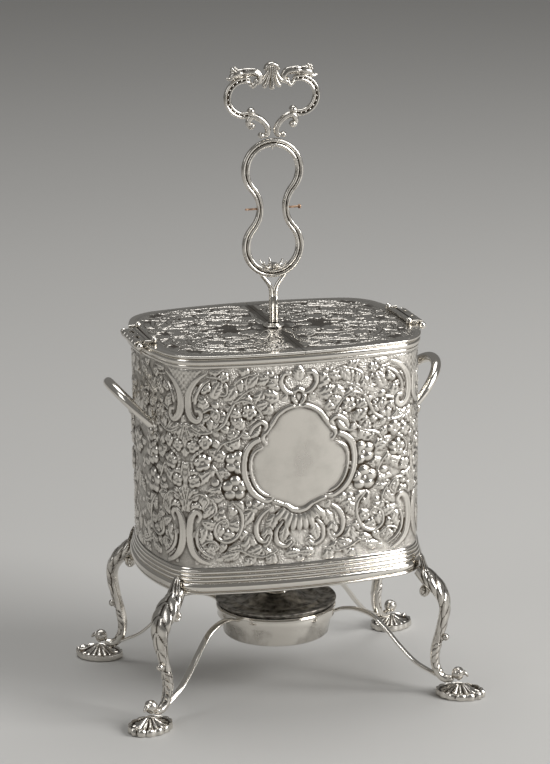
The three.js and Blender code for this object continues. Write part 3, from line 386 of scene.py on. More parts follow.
def make(name, parts, body, node, slot, sharp=40.0, finish=None, **attributes):
    """Puts closed surfaces into one mesh object that rides on a body and stands for a CAD node. Its finish
    is the slot's own unless another is named."""
    finish = finish or slot
    points, faces = merged(parts)
    # Painted shade and tarnish for cast pieces: darker where a point lies below its surroundings.
    if finish == "cast_silver":
        attributes["cavity"] = unit(hollows(points, faces) / CREVICE)
    mesh = bpy.data.meshes.new(name)
    mesh.vertices.add(len(points))
    mesh.vertices.foreach_set("co", (points * MM).astype(np.float32).ravel())
    size = np.concatenate([np.full(len(f), f.shape[1]) for f in faces])
    index = np.concatenate([f.ravel() for f in faces])
    mesh.loops.add(len(index))
    mesh.loops.foreach_set("vertex_index", index.astype(np.int32))
    mesh.polygons.add(len(size))
    mesh.polygons.foreach_set("loop_start", np.concatenate([[0], np.cumsum(size)[:-1]]).astype(np.int32))
    mesh.update(calc_edges=True)
    mesh.validate()
    mesh.shade_smooth()
    mesh.set_sharp_from_angle(angle=math.radians(sharp))
    for key, values in attributes.items():
        layer = mesh.attributes.new(key, "FLOAT", "POINT")
        full = np.zeros(len(points), np.float32)
        full[:len(values)] = values
        layer.data.foreach_set("value", full)
    obj = placed(name, mesh)
    mesh.materials.append(material(finish))
    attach(obj, body)
    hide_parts(node)


# ---------------------------------------------------------------- chased relief

class Relief:
    """Heights over a chart of points (u, v). A shape is added by keeping the higher of old and new."""

    def __init__(self, u, v):
        self.u, self.v = u, v
        self.h = np.zeros(len(u))

    def near(self, u, v, reach):
        """Indices of the points within a square of half side reach about (u, v), and their offsets."""
        at = np.flatnonzero((np.abs(self.u - u) < reach) & (np.abs(self.v - v) < reach))
        return at, self.u[at] - u, self.v[at] - v

    def lift(self, at, height):
        """Keeps the higher of the old height and the new one."""
        self.h[at] = np.maximum(self.h[at], height)

    def scroll(self, path, height=1.1, hollow=0.35, moat=0.0):
        """A raised band along a path of (u, v, half width). With q the distance from the path over the
        half width, the section is (1 - q^4)(1 - hollow (1 - q^2)), and thin parts stand lower. A moat of
        bare ground beside it cuts into what is already there."""
        line = spline(path, max(24, int(run_of(path)[-1] / 0.4)))
        line[:, 2] = np.maximum(line[:, 2], 0.35)
        wide = line[:, 2].max() + moat
        low, high = line[:, :2].min(0) - wide, line[:, :2].max(0) + wide
        at = np.flatnonzero((self.u > low[0]) & (self.u < high[0]) & (self.v > low[1]) & (self.v < high[1]))
        if not len(at):
            return
        d = (self.u[at, None] - line[None, :, 0]) ** 2 + (self.v[at, None] - line[None, :, 1]) ** 2
        best = (d / line[None, :, 2] ** 2).argmin(1)
        d = d[np.arange(len(at)), best]
        self.h[at[d < (line[best, 2] + moat) ** 2]] = 0
        q2 = d / line[best, 2] ** 2
        rise = np.where(q2 < 1, (1 - q2**2) * (1 - hollow * (1 - q2)), 0)
        self.lift(at, height * np.sqrt(line[best, 2] / (wide - moat)) * rise)

    def leaf(self, u, v, angle, length, width, height=1.0, bend=0.0, lobes=5):
        """A lobed leaf from (u, v) along angle. Its half width is a sine hump notched at each lobe, its
        section is half a circle, and the midrib and the veins to the notches are sunk. It lies over what
        is already there, with a narrow line of bare ground round it."""
        c, s = math.cos(math.radians(angle)), math.sin(math.radians(angle))
        reach = 0.5 * length + width + abs(bend) * length
        at, du, dv = self.near(u + 0.5 * length * c, v + 0.5 * length * s, reach)
        x = du * c + dv * s + 0.5 * length
        y = dv * c - du * s - bend * x * x / length
        t = unit(x / length)
        lobe = lobed(lobes * (t - 0.3 * np.abs(y) / width))
        half = width * np.maximum(hump(t**0.75), 1e-9) ** 0.7 * (0.7 + 0.3 * lobe) + 1e-6
        q = np.abs(y) / half
        rise = np.sqrt(unit(1 - q * q)) * (0.55 + 0.45 * hump(t))
        rib = 1 - 0.5 * np.exp(-(y / (0.15 * width)) ** 2)
        inside = (x > 0) & (x < length)
        self.h[at[inside & (np.abs(y) < half + 0.4)]] = 0
        self.lift(at, np.where(inside, height * rise * (0.6 + 0.4 * lobe) * rib, 0))

    def flower(self, u, v, radius, petals=5, height=1.4, turn=0.4):
        """A flower: a ring of petals whose edge and height follow the cosine of half its petals' angle,
        round a domed heart, on ground cleared a little beyond it."""
        at, x, y = self.near(u, v, 1.15 * radius)
        d, angle = np.hypot(x, y) / radius, np.arctan2(y, x) + turn
        self.h[at[d < 1.1]] = 0
        petal = np.abs(np.cos(0.5 * petals * angle))
        q = d / (0.72 + 0.28 * petal**0.7)
        cup = unit(1 - ((q - 0.6) / 0.42) ** 2) ** 0.6 * (0.5 + 0.5 * petal**0.5)
        heart = 0.95 * np.sqrt(unit(1 - (d / 0.24) ** 2))
        self.lift(at, height * np.maximum(cup, heart))

    def fan(self, u, v, inner, outer, middle, spread, ribs, height=1.1):
        """A shell's fan between two radii: ribs follow a sine of the angle, and swell along a sine hump."""
        at, x, y = self.near(u, v, 1.1 * outer)
        a = np.mod(np.degrees(np.arctan2(y, x)) - middle + 180, 360) - 180
        rib = lobed(ribs * (a / spread + 0.5))
        q = unit((np.hypot(x, y) - inner) / (outer * (0.88 + 0.12 * rib) - inner))
        body = np.maximum(hump(q**1.5), 0) ** 0.5
        self.lift(at, np.where(np.abs(a) < spread / 2, height * (0.35 + 0.65 * rib) * body, 0))

    def bead(self, u, v, radius, height=0.8):
        """A round bead: half a ball scaled to height, on cleared ground."""
        at, x, y = self.near(u, v, 1.3 * radius)
        self.h[at[np.hypot(x, y) < 1.25 * radius]] = 0
        self.lift(at, height * np.sqrt(unit(1 - (x * x + y * y) / radius**2)))

    def diaper(self, inside, across=3.2, along=4.4, height=0.5):
        """Lozenge pads where inside is true: the lower of two crossed sine humps, to a small power."""
        a, b = self.u / across + self.v / along, self.u / across - self.v / along
        pad = np.minimum(lobed(a, 1), lobed(b, 1))
        at = np.flatnonzero(inside)
        self.lift(at, height * pad[at] ** 0.35)


def soften(h, reach):
    """Box mean over a square of half side reach, by running sums with the edge values repeated."""
    for axis in (0, 1):
        wide = np.pad(h, [(reach + 1, reach) if k == axis else (0, 0) for k in (0, 1)], mode="edge")
        total = np.cumsum(wide, axis)
        n, size = 2 * reach + 1, total.shape[axis]
        h = (np.take(total, range(n, size), axis) - np.take(total, range(size - n), axis)) / n
    return h


# Chased design in one half of a panel: scrolls as lists of (distance from the panel's middle line,
# height, half width), each with its height above the wall and the share by which its middle is sunk.
CARTOUCHE = [
    ([(17, 152.6, .7), (21, 154, 1.2), (26, 152.2, 1.5), (30, 147.4, 1.6), (31.4, 140.6, 1.6),
      (31, 133.6, 1.6), (28.8, 127, 1.5), (25, 121.8, 1.4), (19.6, 118.2, 1.1), (15.4, 118.4, .9)], 1.5, .6),
    ([(17.6, 148, .5), (22, 148.6, .7), (26, 145.8, .8), (27.6, 140.6, .8), (27.2, 134, .8),
      (25, 127.6, .8), (21.4, 123, .7), (17, 120.8, .5)], .8, .1),
    ([(18.4, 150.6, .7), (20.6, 154.6, 1.0), (18.2, 158.6, 1.2), (15, 162.8, 1.2), (12.2, 167, 1.1),
      (8.4, 170, 1.1), (4.2, 171.6, 1.0), (.6, 172, .9)], 1.2, .4),
    ([(27.8, 157.4, .7), (26, 161, 1.2), (21.6, 163.8, 1.3), (18.4, 161.8, 1.0), (19.4, 159, .7)], 1.3, .5),
    ([(-1.2, 180, .9), (0, 180, .9), (2.7, 178.6, 1.0), (3.1, 175.6, 1.0), (1.6, 173.2, .9)], 1.3, .3),
    ([(-2, 111, 1.2), (0, 111, 1.3), (4, 112, 1.3), (6.8, 114.4, 1.2), (10.5, 116, 1.0),
      (14.6, 117.4, .9)], 1.2, .4),
    ([(3.6, 178, .6), (7.2, 179.4, 1.1), (9.8, 183.4, 1.2), (8.2, 187.6, 1.1), (4.8, 188, .8)], 1.3, .4),
    ([(9.6, 106, .6), (13, 101.4, 1.0), (12.2, 96, 1.2), (8, 93.6, 1.1), (5, 95.6, .8)], 1.1, .35),
    ([(17, 113.6, .6), (21.6, 110, 1.0), (24.4, 104.6, 1.2), (23.2, 99, 1.1), (19.4, 96.8, .8),
      (17.4, 99.2, .6)], 1.1, .35),
]
STEMS = [
    [(61, 160.6, .6), (54, 157.4, 1.1), (47.5, 158.6, 1.3), (42.4, 162.6, 1.3), (39.6, 168.6, 1.2),
     (36.2, 174.6, 1.0), (31, 179, .8), (25.6, 181.4, .6)],
    [(50.6, 158, .6), (54, 162.4, 1.0), (53, 168, 1.2), (48, 170.6, 1.2), (44.6, 168, 1.0), (45.4, 164.6, .8),
     (47.6, 165, .6)],
    [(35.8, 174.6, .5), (31, 176, .9), (26, 174, 1.0), (22, 169.6, .8), (20.6, 166, .5)],
    [(50, 187.6, .5), (44, 186.4, .9), (39.6, 182.6, .9), (40, 178.6, .7), (43, 177.8, .6)],
    [(20, 187.6, .5), (25, 188.6, .8), (31, 187, .9), (35, 184, .8), (34.4, 181.2, .6)],
    [(42.6, 134, .6), (38.6, 119.6, .9), (33.6, 113, 1.2), (32.2, 106.4, 1.4), (35, 99.8, 1.5), (41.2, 97.2, 1.4),
     (46.2, 100.6, 1.3), (46, 106.4, 1.1), (41.8, 108.6, .9), (39.6, 105.8, .7), (41.4, 104.2, .6)],
    [(43, 93.4, .6), (48.4, 97.6, .9), (53.8, 96.4, 1.0), (55, 92, 1.0), (51.6, 88.8, .9), (48.4, 90.6, .7),
     (50, 92.6, .6)],
    [(13, 91.4, .6), (20, 88.6, .9), (27, 89.8, 1.1), (33, 92.8, 1.0), (38.4, 92.2, .7)],
    [(47, 146.6, .6), (43.6, 151.4, .9), (38.4, 153.6, .9), (33.4, 156.4, .8), (30.6, 161, .6)],
    [(52, 124, .6), (48, 119.4, .9), (46.4, 113.6, .8), (49.8, 110.4, .7)],
]
# Scrolls beside a corner's middle line, (distance from that line, height, half width).
CORNER_SCROLLS = [
    ([(13.5, 189.4, .5), (10, 188, 1.0), (5.8, 184.6, 1.6), (2.9, 179.4, 2.0), (2.2, 173, 2.1),
      (3.7, 167.2, 1.9), (7.2, 164.4, 1.5), (9.8, 166.4, 1.2), (9.3, 169.8, 1.0), (7.2, 170.2, .8)], 1.4, .6),
    ([(15, 185.8, .4), (10.8, 183, .8), (7.6, 178.4, .9), (6.8, 174.2, .7)], .9, .1),
    ([(7.6, 109.4, .7), (9.2, 112.4, 1.0), (6.8, 115, 1.4), (3.7, 112.2, 1.8), (2.1, 106, 2.1),
      (2.2, 99.4, 2.1), (4, 93, 1.9), (7.8, 88.4, 1.4), (13, 85.6, .8)], 1.4, .6),
    ([(7.6, 105.6, .5), (6.6, 101.2, .8), (7.4, 96.2, .9), (10.6, 91.8, .8), (15, 88.8, .5)], .9, .1),
]
CORNER_STEMS = [
    [(0, 163, .6), (1.2, 158, 1.0), (3.4, 151.6, 1.2), (7.5, 146.4, 1.2), (12.5, 141.6, 1.1), (17, 136, .9),
     (20, 130, .7)],
    [(0, 115.6, .6), (.4, 121, .9), (1.8, 128, 1.1), (2.4, 135, 1.0), (1.4, 141.4, .7)],
    [(3, 122, .5), (7.4, 124.6, .9), (11.6, 123.4, 1.0), (13.6, 119.4, .9), (11.8, 116.4, .7)],
]
# The half width of the lozenges between the upper corner scrolls at each height.
WEDGE_Z, WEDGE_HALF = [177, 180, 184, 187.6, 192.6], [0, 1.4, 3.2, 7, 12]
# Flowers and buds as (distance, height, radius). Buds wider than BLOSSOM become small flowers of four
# petals, the others beads.
BLOSSOM = 2.7
FLOWERS = [(35.8, 141, 6.6), (36.6, 126.2, 7.0), (54.4, 141.4, 4.8), (28, 169.6, 4.2), (41, 187, 3.0),
           (57.6, 117, 3.4)]
BUDS = [
    (52.8, 152.4, 3.2), (59.4, 150.6, 2.9), (58.8, 131.4, 3.1), (51, 181.8, 2.8), (57.4, 102, 2.6),
    (47.2, 129.6, 2.4), (28.8, 116.8, 2.0), (22.6, 165.8, 1.6), (15.4, 118.8, 1.9), (15, 188, 1.7),
    (43.6, 113.2, 1.8), (46, 172.6, 2.2),
]
# Leaves as (distance, height, angle, length, half width).
LEAVES = [
    (28, 101, -92, 12, 3.4), (34.4, 96, -60, 8, 2.6), (21, 94, -30, 8, 2.6), (27, 113, -60, 8, 2.8),
    (36, 119, -70, 7, 2.6), (47, 176, 110, 8, 2.6), (32, 160, 60, 8, 2.8), (28, 156, 140, 7, 2.6),
    (35, 149, 60, 9, 3.0), (41.6, 143, 20, 8, 2.8), (41, 128, -20, 8, 2.8), (31, 134, 160, 5, 2.2),
    (36, 119.4, -110, 6, 2.4), (55, 147, 60, 7, 2.6), (50, 136, -30, 8, 2.8), (57, 121, 60, 7, 2.4),
    (52, 106, -60, 8, 2.8), (60, 112, 100, 6, 2.0), (44, 88.4, 170, 8, 2.2), (58, 174, 110, 7, 2.2),
    (49, 190, 175, 8, 1.8), (33, 168, 20, 7, 2.4),
]
MIDDLE_LEAVES = [
    (0, 184, 90, 7, 2.8), (10, 181, 35, 10, 3.0), (11, 176.6, 5, 9, 2.8), (14.6, 169, 30, 9, 2.8),
    (16, 186, -10, 8, 2.4), (20, 119, -40, 8, 2.6), (15, 90, 10, 8, 2.2), (0, 92, -90, 6, 2.6),
    (8, 89, 170, 7, 2.2), (14, 110, -70, 8, 2.6), (18, 104, -90, 8, 2.6), (8, 104, -80, 8, 2.4),
    (20, 180, -60, 8, 2.6), (4, 98, -60, 6, 2.2),
]
END_LEAVES = [
    (0, 158, 90, 13, 4.0), (0, 128, -90, 12, 4.0), (4, 160, 55, 10, 2.8), (4, 124, -55, 10, 2.8),
    (0, 102, -90, 10, 3.2), (0, 180, 90, 8, 3.0), (5, 143, 15, 8, 2.6), (6, 100, -30, 8, 2.4),
]
# The bare field's half width at each height, inside the cartouche.
FIELD_Z = [112, 115, 119, 123, 128, 134, 141, 148, 151, 155, 160, 166, 169, 171]
FIELD_HALF = [0, 7.5, 14.4, 20, 24, 26.2, 26.6, 22, 18, 18, 14.6, 10.6, 6, 0]
CORNER_LINE = SIDE_RUN + 0.5 * CORNER_RUN
# The cartouche's middle: how far left of the panel's, and how high. Leaves and stems in the tables are
# drawn by these shares of their sizes and widths.
MIDDLE_SHIFT, MIDDLE_Z = 3.0, 141
LEAF_GROWTH, STEM_WIDTH, LID_STEM_WIDTH = 1.3, 0.62, 0.8
# The lattice of small leaves on bare ground, and how deep a hollow is when its painted shade and tarnish are fully
# dark.
SCATTER_U, SCATTER_Z = 6.6, np.arange(86.5, 190.5, 6.2)
WALL_HOLLOW, LID_HOLLOW = 0.28, 0.12


def sprigs(relief, path, every=5.2, size=8.0, height=1.0):
    """Leaves along a stem, one side after the other, each leaning forward from the stem's direction."""
    line = spline(path, 200)
    run = run_of(line)
    for k, at in enumerate(np.arange(0.4 * every, run[-1] - 1, every)):
        i = min(int(np.searchsorted(run, at)), 197)
        angle = math.degrees(math.atan2(line[i + 2, 1] - line[i, 1], line[i + 2, 0] - line[i, 0]))
        side = 1 if k % 2 else -1
        long = size * (1 + 0.22 * math.sin(2.3 * k + run[-1]))
        relief.leaf(line[i, 0], line[i, 1], angle + side * 48, long, 0.36 * long, height, 0.22 * side, 4)


def scatter(relief, us, vs, free, size=4.4, height=0.6):
    """Small leaves where the ground is still bare, on a staggered lattice shaken and turned by sines."""
    for row, v in enumerate(vs):
        for u in us + 0.5 * (us[1] - us[0]) * (row % 2):
            u1, v1 = u + 1.1 * math.sin(7.1 * v + 3.3 * u), v + 1.1 * math.sin(5.3 * u + 1.9 * v)
            at = relief.near(u1, v1, 1.5)[0]
            if len(at) and relief.h[at].max() < 0.2 and free(u1, v1):
                turn = 180 * math.sin(0.11 * u1 + 0.07 * v1) + 60 * math.sin(2.7 * u1 + v1)
                relief.leaf(u1, v1, turn, size, 0.36 * size, height, 0.2, 3)


def chase_common(relief):
    """What the long panels and the ends share: leaves, then stems, flowers and buds over them, and the
    corner scrolls over all, with lozenges between the upper ones."""
    def beside(path):
        return [(CORNER_LINE - c, z, w) for c, z, w in path]

    stems = STEMS + [beside(path) for path in CORNER_STEMS]
    for path in stems:
        sprigs(relief, path)
    for u, z, angle, length, width in LEAVES:
        relief.leaf(u, z, angle, LEAF_GROWTH * length, LEAF_GROWTH * width, 1.15, 0.14 if u % 2 else -0.14)
    for z, angle, length in ((163.6, -90, 19), (114.6, 90, 24)):
        relief.leaf(CORNER_LINE, z, angle, length, 5.2, 1.3, 0, 6)
    for path in stems:
        relief.scroll([(u, z, STEM_WIDTH * w) for u, z, w in path], 1.0, 0.2, 0.3)
    for u, z, radius in FLOWERS:
        relief.flower(u, z, radius, 5, 0.6 + 0.15 * radius, 0.4 + z)
    for u, z, radius in BUDS:
        if radius > BLOSSOM:
            relief.flower(u, z, 1.2 * radius, 4, 0.95, z)
        else:
            relief.bead(u, z, 0.85 * radius, 0.45 + 0.16 * radius)
    for path, height, hollow in CORNER_SCROLLS:
        relief.scroll(beside(path), height, hollow, 0.7)
    between = CORNER_LINE - relief.u < np.interp(relief.v, WEDGE_Z, WEDGE_HALF)
    relief.diaper(between & (relief.v > WEDGE_Z[0]), 2.6, 3.4, 0.4)


def bare_wedge(u, z):
    """True under the lower corner scrolls, where the punched ground stays plain."""
    return CORNER_LINE - u < np.interp(z, [83, 88, 93, 99, 100], [16, 7, 2, 1, -1])


def inside_field(u, z, grow=0.0):
    """True on the cartouche's bare field, widened by grow."""
    level = (z > FIELD_Z[0] - grow) & (z < FIELD_Z[-1] + grow)
    return u < np.interp(z, FIELD_Z, FIELD_HALF, 0, 0) + grow * level


def chase_long(s, z):
    """Front and back panels: the design is folded about the cartouche's middle line, which lies a little
    left of the panel's, and drawn in a little round it; slow sines warp the left half, so that the two
    halves differ."""
    shifted = s + MIDDLE_SHIFT * (1 - (s / CORNER_LINE) ** 2)
    left = shifted < 0
    out = np.abs(shifted)
    warp = np.where(left, unit(out / 20 - 1.5) * unit((CORNER_LINE - out) / 12), 0)
    shrink = unit((52 - out) / 16) * unit((44 - np.abs(z - MIDDLE_Z)) / 16)
    u = out * (1 + 0.03 * shrink) + 0.8 * warp * np.sin(z / 11 + 1)
    v = z + 0.06 * shrink * (z - MIDDLE_Z) + 1.0 * warp * np.sin(out / 9)
    relief = Relief(u, v)
    for u0, z0, angle, length, width in MIDDLE_LEAVES:
        relief.leaf(u0, z0, angle, LEAF_GROWTH * length, LEAF_GROWTH * width, 1.1, 0.1)
    chase_common(relief)
    relief.fan(0, 122, 12, 21, -90, 96, 9)
    for path, height, hollow in CARTOUCHE:
        relief.scroll(path, height, hollow, 0.6)
    scatter(relief, np.arange(1.5, CORNER_LINE - 1, SCATTER_U), SCATTER_Z,
            lambda a, b: not (bare_wedge(a, b) or inside_field(a, b, 4)))
    field = inside_field(u, v)
    relief.h = np.where(field & (relief.h < 0.7), 0, relief.h)
    return relief.h, field


def chase_end(s, z):
    """End panels: the same corner design moved in, with a tall spray up the middle line."""
    fold = 2 * CORNER_LINE - QUARTER
    relief = Relief(np.abs(s - QUARTER) + fold, z)
    chase_common(relief)
    relief.u = relief.u - fold
    relief.flower(0, 143, 7.0, 6, 1.6)
    for u0, z0, angle, length, width in END_LEAVES:
        relief.leaf(u0, z0, angle, length, width)
    scatter(relief, np.arange(1.5, QUARTER - CORNER_LINE - 1, SCATTER_U), SCATTER_Z,
            lambda a, b: not bare_wedge(a + fold, b))
    return relief.h, np.zeros(len(s), bool)


def wall_panel(name, start, stop, chase, sizes):
    """One closed slab of the wall: a fine outer grid over arc length and height, moved out by the chased
    height, a plain inner face, and strips and fans that close its four edges."""
    columns = np.linspace(start, stop, int((stop - start) / sizes.wall_step) + 1)
    rows = np.linspace(CHASED_BOTTOM, CHASED_TOP, int((CHASED_TOP - CHASED_BOTTOM) / sizes.wall_step))
    s, z = np.meshgrid(columns, rows, indexing="ij")
    height, field = chase(s.ravel(), z.ravel())
    height = soften(height.reshape(s.shape), 1) * 0.5 + height.reshape(s.shape) * 0.5
    edge = unit(np.minimum(z - CHASED_BOTTOM, CHASED_TOP - z) / CHASING_FADE)
    height = height * edge * sizes.chasing
    raised = unit(height / RAISED)
    line = unit(soften(raised, 1) - raised)
    # Painted shade and tarnish: darker where the chasing lies below its softened surroundings, and fully dark in
    # the line along the foot of all that is raised.
    cavity = unit(np.maximum((soften(soften(height, 3), 2) - height) / WALL_HOLLOW, 2.2 * line))
    matt = (1 - raised) * (1 - field.reshape(s.shape))
    height = height - TROUGH * line
    ends = np.array([BODY_BOTTOM, CHASED_BOTTOM - 0.6])
    z = np.concatenate([np.tile(ends, (len(columns), 1)), z, np.full((len(columns), 1), BODY_TOP)], 1)
    height, cavity, matt = (np.pad(a, ((0, 0), (2, 1))) for a in (height, cavity, matt))
    outer = np.dstack([outline(columns[:, None], height), z])
    inner = outline(columns, -WALL)
    n, m = z.shape
    points = np.vstack([outer.reshape(-1, 3), np.column_stack([inner, np.full(n, BODY_BOTTOM)]),
                        np.column_stack([inner, np.full(n, BODY_TOP)])])
    low, high = n * m, n * m + n
    i, j = np.meshgrid(np.arange(n - 1), np.arange(m - 1), indexing="ij")
    at = i * m + j
    quads = [np.stack([at, at + m, at + m + 1, at + 1], -1).reshape(-1, 4)]
    k = np.arange(n - 1)
    quads.append(np.stack([low + k + 1, low + k, high + k, high + k + 1], -1))
    quads.append(np.stack([k * m + m - 1, (k + 1) * m + m - 1, high + k + 1, high + k], -1))
    quads.append(np.stack([low + k, low + k + 1, (k + 1) * m, k * m], -1))
    k = np.arange(m - 1)
    first, last = np.full(m - 1, low), np.full(m - 1, low + n - 1)
    fans = [np.stack([first, k, k + 1], -1), np.stack([last, (n - 1) * m + k + 1, (n - 1) * m + k], -1),
            np.array([[low, m - 1, high], [low + n - 1, high + n - 1, n * m - 1]])]
    part = oriented(points, [*quads, *fans])
    make(name, [part], "boiler", "body_shell", "chased_silver", 70, cavity=cavity.ravel(), matt=matt.ravel())


def make_walls(sizes):
    """The wall in four panels that meet near the corners. The back and the left end are the front and the
    right end carried halfway round."""
    side, half = CORNER_LINE, 2 * QUARTER
    for name, start, stop, chase, on in (
        ("front", -side, side, chase_long, 0), ("right", side, half - side, chase_end, 0),
        ("back", half - side, half + side, chase_long, half),
        ("left", half + side, 2 * half - side, chase_end, half),
    ):
        wall_panel(f"wall_{name}", start, stop, lambda s, z: chase(s - on, z), sizes)


def band(profile):
    """A moulding: a closed profile of (offset, height) carried right round the outline."""
    s = around()
    grid = np.dstack([outline(s[:, None], profile[None, :, 0]), np.tile(profile[:, 1], (len(s), 1))])
    return skin(clear_barrel(grid), looped=True)


def make_mouldings():
    """Rim: a small bead under a large torus. Base: bead, torus, and three reeds that step inwards."""
    rim = np.vstack([[[GAP, RIM_BOTTOM]], half_round(0.7, RIM_BOTTOM, RIM_GROOVE, 0.4, 9),
                     half_round(0.7, RIM_GROOVE, BODY_TOP, RIM_TORUS - 0.7, 18)[1:], [[GAP, BODY_TOP]]])
    make("moulding_rim", [band(rim)], "boiler", "rim_moulding", "polished_silver", 50)
    base = [half_round(1.6, BASE_BOTTOM, BASE_BEAD_TOP, 0.9, 9),
            half_round(1.4, BASE_BEAD_TOP, BASE_TORUS_TOP, 2.2, 22)[1:]]
    for k in range(3):
        z = BASE_TORUS_TOP + k * REED_HEIGHT
        base.append(half_round(1.7 - 0.5 * k, z, z + REED_HEIGHT, 0.8, 10)[1 if k else 0:])
    base = np.vstack([*base, [[0.6, BASE_TOP - 0.5], [GAP, BASE_TOP], [GAP, BASE_BOTTOM]]])
    make("moulding_base", [band(base)], "boiler", "base_moulding", "polished_silver", 50)


# Chased design of a half lid in one of its quarters, (distance along X, distance along Y, half width).
LID_SCROLLS = [
    [(8, 10, .8), (16, 20, 1.3), (28, 24, 1.6), (40, 20, 1.6), (46, 11, 1.4), (41, 4.5, 1.1), (34, 6, .9),
     (35, 11, .7)],
    [(10, 30, .8), (20, 38, 1.4), (33, 40, 1.7), (45, 35, 1.7), (52, 25, 1.5), (51, 16, 1.2), (45, 15, .9)],
    [(6, 48, .8), (18, 50.5, 1.3), (32, 49.5, 1.5), (44, 45, 1.5), (54, 37, 1.4), (60, 28, 1.3), (62, 17, 1.1),
     (58, 10, .9), (54, 13, .7)],
    [(66, 28, .7), (68, 20, 1.1), (67.5, 9, 1.2), (64, 2, 1.0)],
    [(3, 14, .7), (5, 22, 1.1), (4, 32, 1.2), (7, 40, 1.1), (12, 43, .8)],
]
LID_FLOWERS = [(28, 14, 4.6), (40, 28, 4.4), (15, 45, 3.2), (54, 4, 4.0), (23.5, 31.5, 3.2), (57, 33, 2.8),
               (36, 46, 2.6)]
LID_LEAVES = [
    (12, 8, 20, 12, 3.0), (17, 26, 60, 8, 2.6), (44, 24, 80, 8, 2.6), (8, 52, 5, 10, 2.2), (38, 51, -20, 8, 2.2),
    (55, 22, -80, 8, 2.6), (45, 4, 10, 8, 2.6), (12, 34, 100, 8, 2.6), (50, 9, 60, 6, 2.2), (48, 31, -10, 7, 2.4),
    (3, 6, 70, 8, 2.2), (41, 39, 10, 8, 2.4),
]


def half_lid(sizes):
    """The right half lid: rays from the stem hole to the rim, with chased heights on top, carried over a
    rounded edge and back underneath, and closed along the seam by a fan. The chasing's height is a
    hyperbolic tangent of the relief's, so that its leaves are flat on top."""
    s = np.linspace(0, 2 * QUARTER, int(2 * QUARTER / sizes.lid_step) + 1)
    edge = outline(s, LID_OVER - LID_ROUND)
    angle = np.arctan2(edge[:, 1], edge[:, 0])
    hole = LID_HOLE * np.column_stack([np.cos(angle), np.sin(angle)])
    share = np.linspace(0, 1, int(LID_RAYS / sizes.lid_step))
    top = hole[:, None] * (1 - share[None, :, None]) + edge[:, None] * share[None, :, None]
    from_edge = np.hypot(*(edge - hole).T)[:, None] * (1 - share)
    relief = Relief(top[..., 0].ravel(), np.abs(top[..., 1]).ravel())
    for path in LID_SCROLLS:
        sprigs(relief, path, 7.4, 12.0, 0.7)
    for x, y, turn, length, width in LID_LEAVES:
        relief.leaf(x, y, turn, LEAF_GROWTH * length, LEAF_GROWTH * width, 0.65, 0.1)
    for path in LID_SCROLLS:
        relief.scroll([(x, y, LID_STEM_WIDTH * w) for x, y, w in path], 0.7, 0.3, 0.5)
    for x, y, radius in LID_FLOWERS:
        relief.flower(x, y, 1.25 * radius, 5, 0.75)
    scatter(relief, np.arange(4, 70, 8.4), np.arange(1, 55, 7.2), lambda x, y: True, 8.4, 0.6)
    relief.h = LID_RELIEF * np.tanh(relief.h / LID_SOFT)
    height = relief.h.reshape(from_edge.shape)
    inside = unit(from_edge / LID_BORDER - 1)
    height = height * (inside * unit(share * LID_RAYS / 4 - 1))
    height = height * unit((top[..., 0] - SEAM_STRIP) / 1.5) * sizes.chasing
    raised = unit(height / RAISED)
    height = height - LID_LINE_DEPTH * sum(np.exp(-((from_edge - at) / 0.3) ** 2) for at in LID_LINES)
    # Painted shade and tarnish: darker where the lid lies below its softened surroundings, and at least 0.9 dark
    # on the unraised ground inside the border.
    cavity = np.clip((soften(height, 2) - height) / LID_HOLLOW, 0.9 * ((1 - raised) * inside), 1)
    top = np.concatenate([top, (LID_TOP + height)[..., None]], -1)
    turn = np.linspace(0, math.pi / 2, 6)
    over = [(LID_OVER - LID_ROUND + LID_ROUND * math.sin(a), LID_TOP - 0.45 + 0.45 * math.cos(a))
            for a in turn[1:]]
    over += [(LID_OVER, LID_BOTTOM + 0.35), (LID_OVER - 0.3, LID_BOTTOM), (LID_OVER - 0.9, LID_BOTTOM)]
    rest = [np.column_stack([outline(s, d), np.full(len(s), z)]) for d, z in over]
    rest.append(np.column_stack([hole, np.full(len(s), LID_BOTTOM)]))
    grid = np.concatenate([top, np.stack(rest, 1)], 1)
    grid[..., 0] = np.maximum(grid[..., 0], GAP / 2)
    n, m = grid.shape[:2]
    k, base = np.arange(m - 2), (n - 1) * m
    fans = [np.stack([np.full(m - 2, m - 1), k, k + 1], -1),
            np.stack([np.full(m - 2, base + m - 1), base + k + 1, base + k], -1)]
    part = oriented(clear_barrel(grid).reshape(-1, 3), [lattice(n, m, flipped=True), *fans])
    pad = ((0, 0), (0, m - len(share)))
    return part, np.pad(cavity, pad).ravel(), np.pad(raised * 0.8, pad).ravel()


def make_lids(sizes):
    """Both half lids with their half collars round the stem."""
    part, cavity, matt = half_lid(sizes)
    z0 = LID_TOP + GAP
    profile = np.vstack([[[LID_HOLE, z0], [5.8, z0]], half_round(5.0, z0 + 0.1, z0 + 0.9, 0.8, 7)[3:],
                         half_round(LID_HOLE + 0.3, z0 + 0.7, z0 + 1.7, 0.6, 7)[2:], [[LID_HOLE, z0 + 1.7]]])
    a = np.linspace(-math.pi / 2, math.pi / 2, 40)
    r, z = profile.T
    ring = xyz(r * np.cos(a)[:, None], r * np.sin(a)[:, None], z)
    ring[..., 0] = np.maximum(ring[..., 0], GAP / 2)
    for side, end in ENDS:
        make(f"half_lid_{end}", [mirrored(part, side)], f"lid_{end}", f"lid_{end}", "chased_silver", 50,
             "lid_silver", cavity=cavity, matt=matt)
        make(f"stem_collar_{end}", [mirrored(skin(ring), side)], f"lid_{end}", f"collar_{end}",
             "polished_silver", 50)


